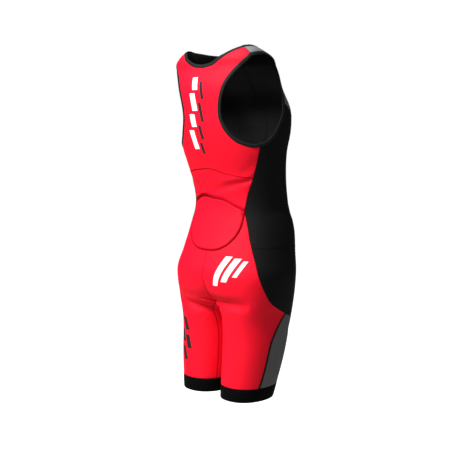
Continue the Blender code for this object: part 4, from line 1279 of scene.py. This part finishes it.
def add_red_with_painted_shade(name, tape, dark, bright, ribs, yarn):
    """Red with painted shade: darker towards the wearer's left and brighter towards the right."""
    finish, face = add_tape(name, tape, bright, ribs, yarn, 0.04)
    nodes = finish.nodes
    x = nodes.split(finish.space)[0]
    # painted shade: a share from the object's x, darker towards the wearer's left
    share = nodes.math("DIVIDE", nodes.math("SUBTRACT", x, PAINTED_SHADE_FROM), PAINTED_SHADE_TO - PAINTED_SHADE_FROM,
                       clamp=True)
    shade = nodes.mix(share, (1.0, 1.0, 1.0, 1.0),
                      (*(low / high for low, high in zip(dark, bright)), 1.0))
    finish.set(Base_Color=nodes.mix(1.0, face["Colour"], shade, "MULTIPLY"))


def add_zip_metal():
    """Dark coated zinc with small scuffs."""
    finish = Finish("zip_metal", metallic=1.0)
    scuffs = finish.nodes.noise(finish.space, 900.0, 4.0)
    soft = finish.nodes.noise(finish.space, 220.0)
    finish.set(Base_Color=finish.nodes.mix(scuffs, (0.035, 0.036, 0.040, 1.0),
                                           (0.11, 0.11, 0.12, 1.0)),
               Roughness=finish.nodes.math("MULTIPLY_ADD", soft, 0.3, 0.22))
    finish.bump(scuffs, 0.00005, 0.4)


def add_thread(name, colour):
    """Twisted sewing thread."""
    finish = Finish(name, specular=0.1)
    twist = finish.nodes.add("ShaderNodeTexWave", wave_type="BANDS", bands_direction="DIAGONAL")
    twist.inputs["Scale"].default_value = 900.0
    finish.nodes.join(finish.space, twist.inputs["Vector"])
    dark = tuple(0.6 * value for value in colour)
    finish.set(Base_Color=finish.nodes.mix(twist.outputs["Fac"], (*dark, 1.0), (*colour, 1.0)),
               Roughness=finish.nodes.math("MULTIPLY_ADD", twist.outputs["Fac"], 0.1, 0.5))
    finish.bump(twist.outputs["Fac"], 0.00008, 0.6)


def make_materials():
    knit, tape = knit_face_group(), ribbed_tape_group()
    add_printed_red(knit)
    add_knit(BLACK, knit, (0.0036, 0.0036, 0.0038), 0.10, 0.01, 0.5, depth=0.00012)
    add_knit(DARK_GREY, knit, (0.110, 0.112, 0.112), 0.2, 0.03, 0.25)
    add_knit(LIGHT_GREY, knit, (0.160, 0.166, 0.172), 0.3, 0.03, 0.15)
    add_knit(LINING, knit, (0.0024, 0.0024, 0.0024), 0.10, 0.0, 0.3, 0.0014)
    # these two carry painted shade, darker towards the wearer's left
    add_red_with_painted_shade("dark_red_binding", tape, (0.17, 0.0004, 0.003), (0.50, 0.0002, 0.015), 5.0,
                 0.0011)
    add_red_with_painted_shade("dark_red_seam", tape, (0.15, 0.0004, 0.003), (0.31, 0.0007, 0.007), 3.0,
                 0.0010)
    add_tape("pocket_seam_red", tape, (0.32, 0.0008, 0.0060), 4.0, 0.0011, 0.04)
    add_tape("black_seam", tape, (0.002, 0.002, 0.002), 3.0, 0.0010, 0.1)
    add_tape("black_binding", tape, (0.0075, 0.0088, 0.0088), 9.0, 0.0010, 0.12, 0.01)
    add_tape("black_cuff", tape, (0.0018, 0.0018, 0.0018), 26.0, 0.0012, 0.03)
    add_tape("zip_tape", tape, (0.0022, 0.0022, 0.0022), 26.0, 0.0008, 0.08)
    add_tape("zip_chain", tape, (0.012, 0.012, 0.013), 1.0, 0.004, 0.5)
    add_thread("black_thread", (0.014, 0.015, 0.016))
    add_thread("dark_thread", (0.30, 0.0008, 0.0075))
    add_thread("red_thread", (0.34, 0.0008, 0.0075))
    add_zip_metal()


# ---- Camera, light and stage ---------------------------------------------------------

CAMERA_TURN = 46.0           # degrees round from straight behind, to the wearer's right
CAMERA_PITCH = 5.5           # degrees that it looks down
CAMERA_AWAY = 2.2
CAMERA_HEIGHT = -0.240
CAMERA_ASIDE = 0.031
FOCAL_PIXELS = 856.0
IMAGE_SIDE = 452.0
SENSOR = 36.0
FLOOR_HEIGHT = -1.35
FLOOR_SIZE = 30.0
FLOOR_SHADE = 0.50
SOFT_LIGHT = 0.06            # strength of the even light from all round


def add_camera():
    turn, pitch = math.radians(CAMERA_TURN), math.radians(CAMERA_PITCH)
    right = Vector((-math.cos(turn), -math.sin(turn), 0.0))
    level = Vector((math.sin(turn), -math.cos(turn), 0.0))
    data = bpy.data.cameras.new("camera")
    data.sensor_width = SENSOR
    data.lens = SENSOR * FOCAL_PIXELS / IMAGE_SIDE
    camera = bpy.data.objects.new("camera", data)
    bpy.context.scene.collection.objects.link(camera)
    camera.location = -level * CAMERA_AWAY + right * CAMERA_ASIDE + Vector((0, 0, CAMERA_HEIGHT))
    forward = level * math.cos(pitch) - Vector((0, 0, math.sin(pitch)))
    up = right.cross(forward)
    camera.matrix_world = Matrix.Translation(camera.location) @ Matrix(
        (right, up, -forward)).transposed().to_4x4()
    bpy.context.scene.camera = camera
    return right, level


LAMP_TARGET = (0.0, -0.05, -0.45)
LAMPS = table(
    "name aside toward up size power",
    ("key_light", -1.8, -1.25, 2.5, 1.1, 245.0),
    ("front_light", 0.0, -2.6, 1.2, 1.4, 5.0),
    ("side_light", 2.2, -0.3, 0.9, 1.4, 4.5),
    ("top_light", -0.3, 0.2, 2.0, 1.6, 6.0),
)


def add_lights(right, level):
    target = Vector(LAMP_TARGET)
    for lamp in LAMPS:
        data = bpy.data.lights.new(lamp.name, "AREA")
        data.shape = "SQUARE"
        data.size = lamp.size
        data.energy = lamp.power
        made = bpy.data.objects.new(lamp.name, data)
        bpy.context.scene.collection.objects.link(made)
        place = target + right * lamp.aside + level * lamp.toward + Vector((0, 0, lamp.up))
        made.location = place
        made.rotation_mode = "QUATERNION"
        made.rotation_quaternion = (target - place).to_track_quat("-Z", "Y")


def add_stage():
    """A pale floor and an even white surround, both plain white to the camera."""
    world = bpy.data.worlds.new("studio")
    bpy.context.scene.world = world
    world.use_nodes = True
    nodes, background = Nodes(world.node_tree), world.node_tree.nodes["Background"]
    background.inputs["Color"].default_value = (1.0, 1.0, 1.0, 1.0)
    to_camera = nodes.add("ShaderNodeLightPath").outputs["Is Camera Ray"]
    strength = nodes.add("ShaderNodeMix", data_type="FLOAT")
    for value, name in ((SOFT_LIGHT, "A"), (1.0, "B"), (to_camera, "Factor")):
        nodes.join(value, strength.inputs[name])
    nodes.join(strength.outputs["Result"], background.inputs["Strength"])
    bpy.ops.object.select_all(action="DESELECT")
    bpy.ops.mesh.primitive_plane_add(size=FLOOR_SIZE, location=(0.0, 0.0, FLOOR_HEIGHT))
    floor = bpy.context.object
    floor.name = "floor"
    paint = bpy.data.materials.new("floor_paint")
    paint.use_nodes = True
    nodes, shader = Nodes(paint.node_tree), paint.node_tree.nodes["Principled BSDF"]
    to_camera = nodes.add("ShaderNodeLightPath").outputs["Is Camera Ray"]
    for name, value in (("Base Color", (FLOOR_SHADE,) * 3 + (1.0,)), ("Roughness", 0.9),
                        ("Emission Color", (1.0, 1.0, 1.0, 1.0)),
                        ("Emission Strength", to_camera)):
        nodes.join(value, shader.inputs[name])
    floor.data.materials.append(paint)
    bpy.context.scene.view_settings.view_transform = "Standard"


make_materials()
add_panels()
add_cuffs()
add_bindings()
add_seam_lines()
add_all_stitches()
add_zip()
right_way, level_way = add_camera()
add_lights(right_way, level_way)
add_stage()
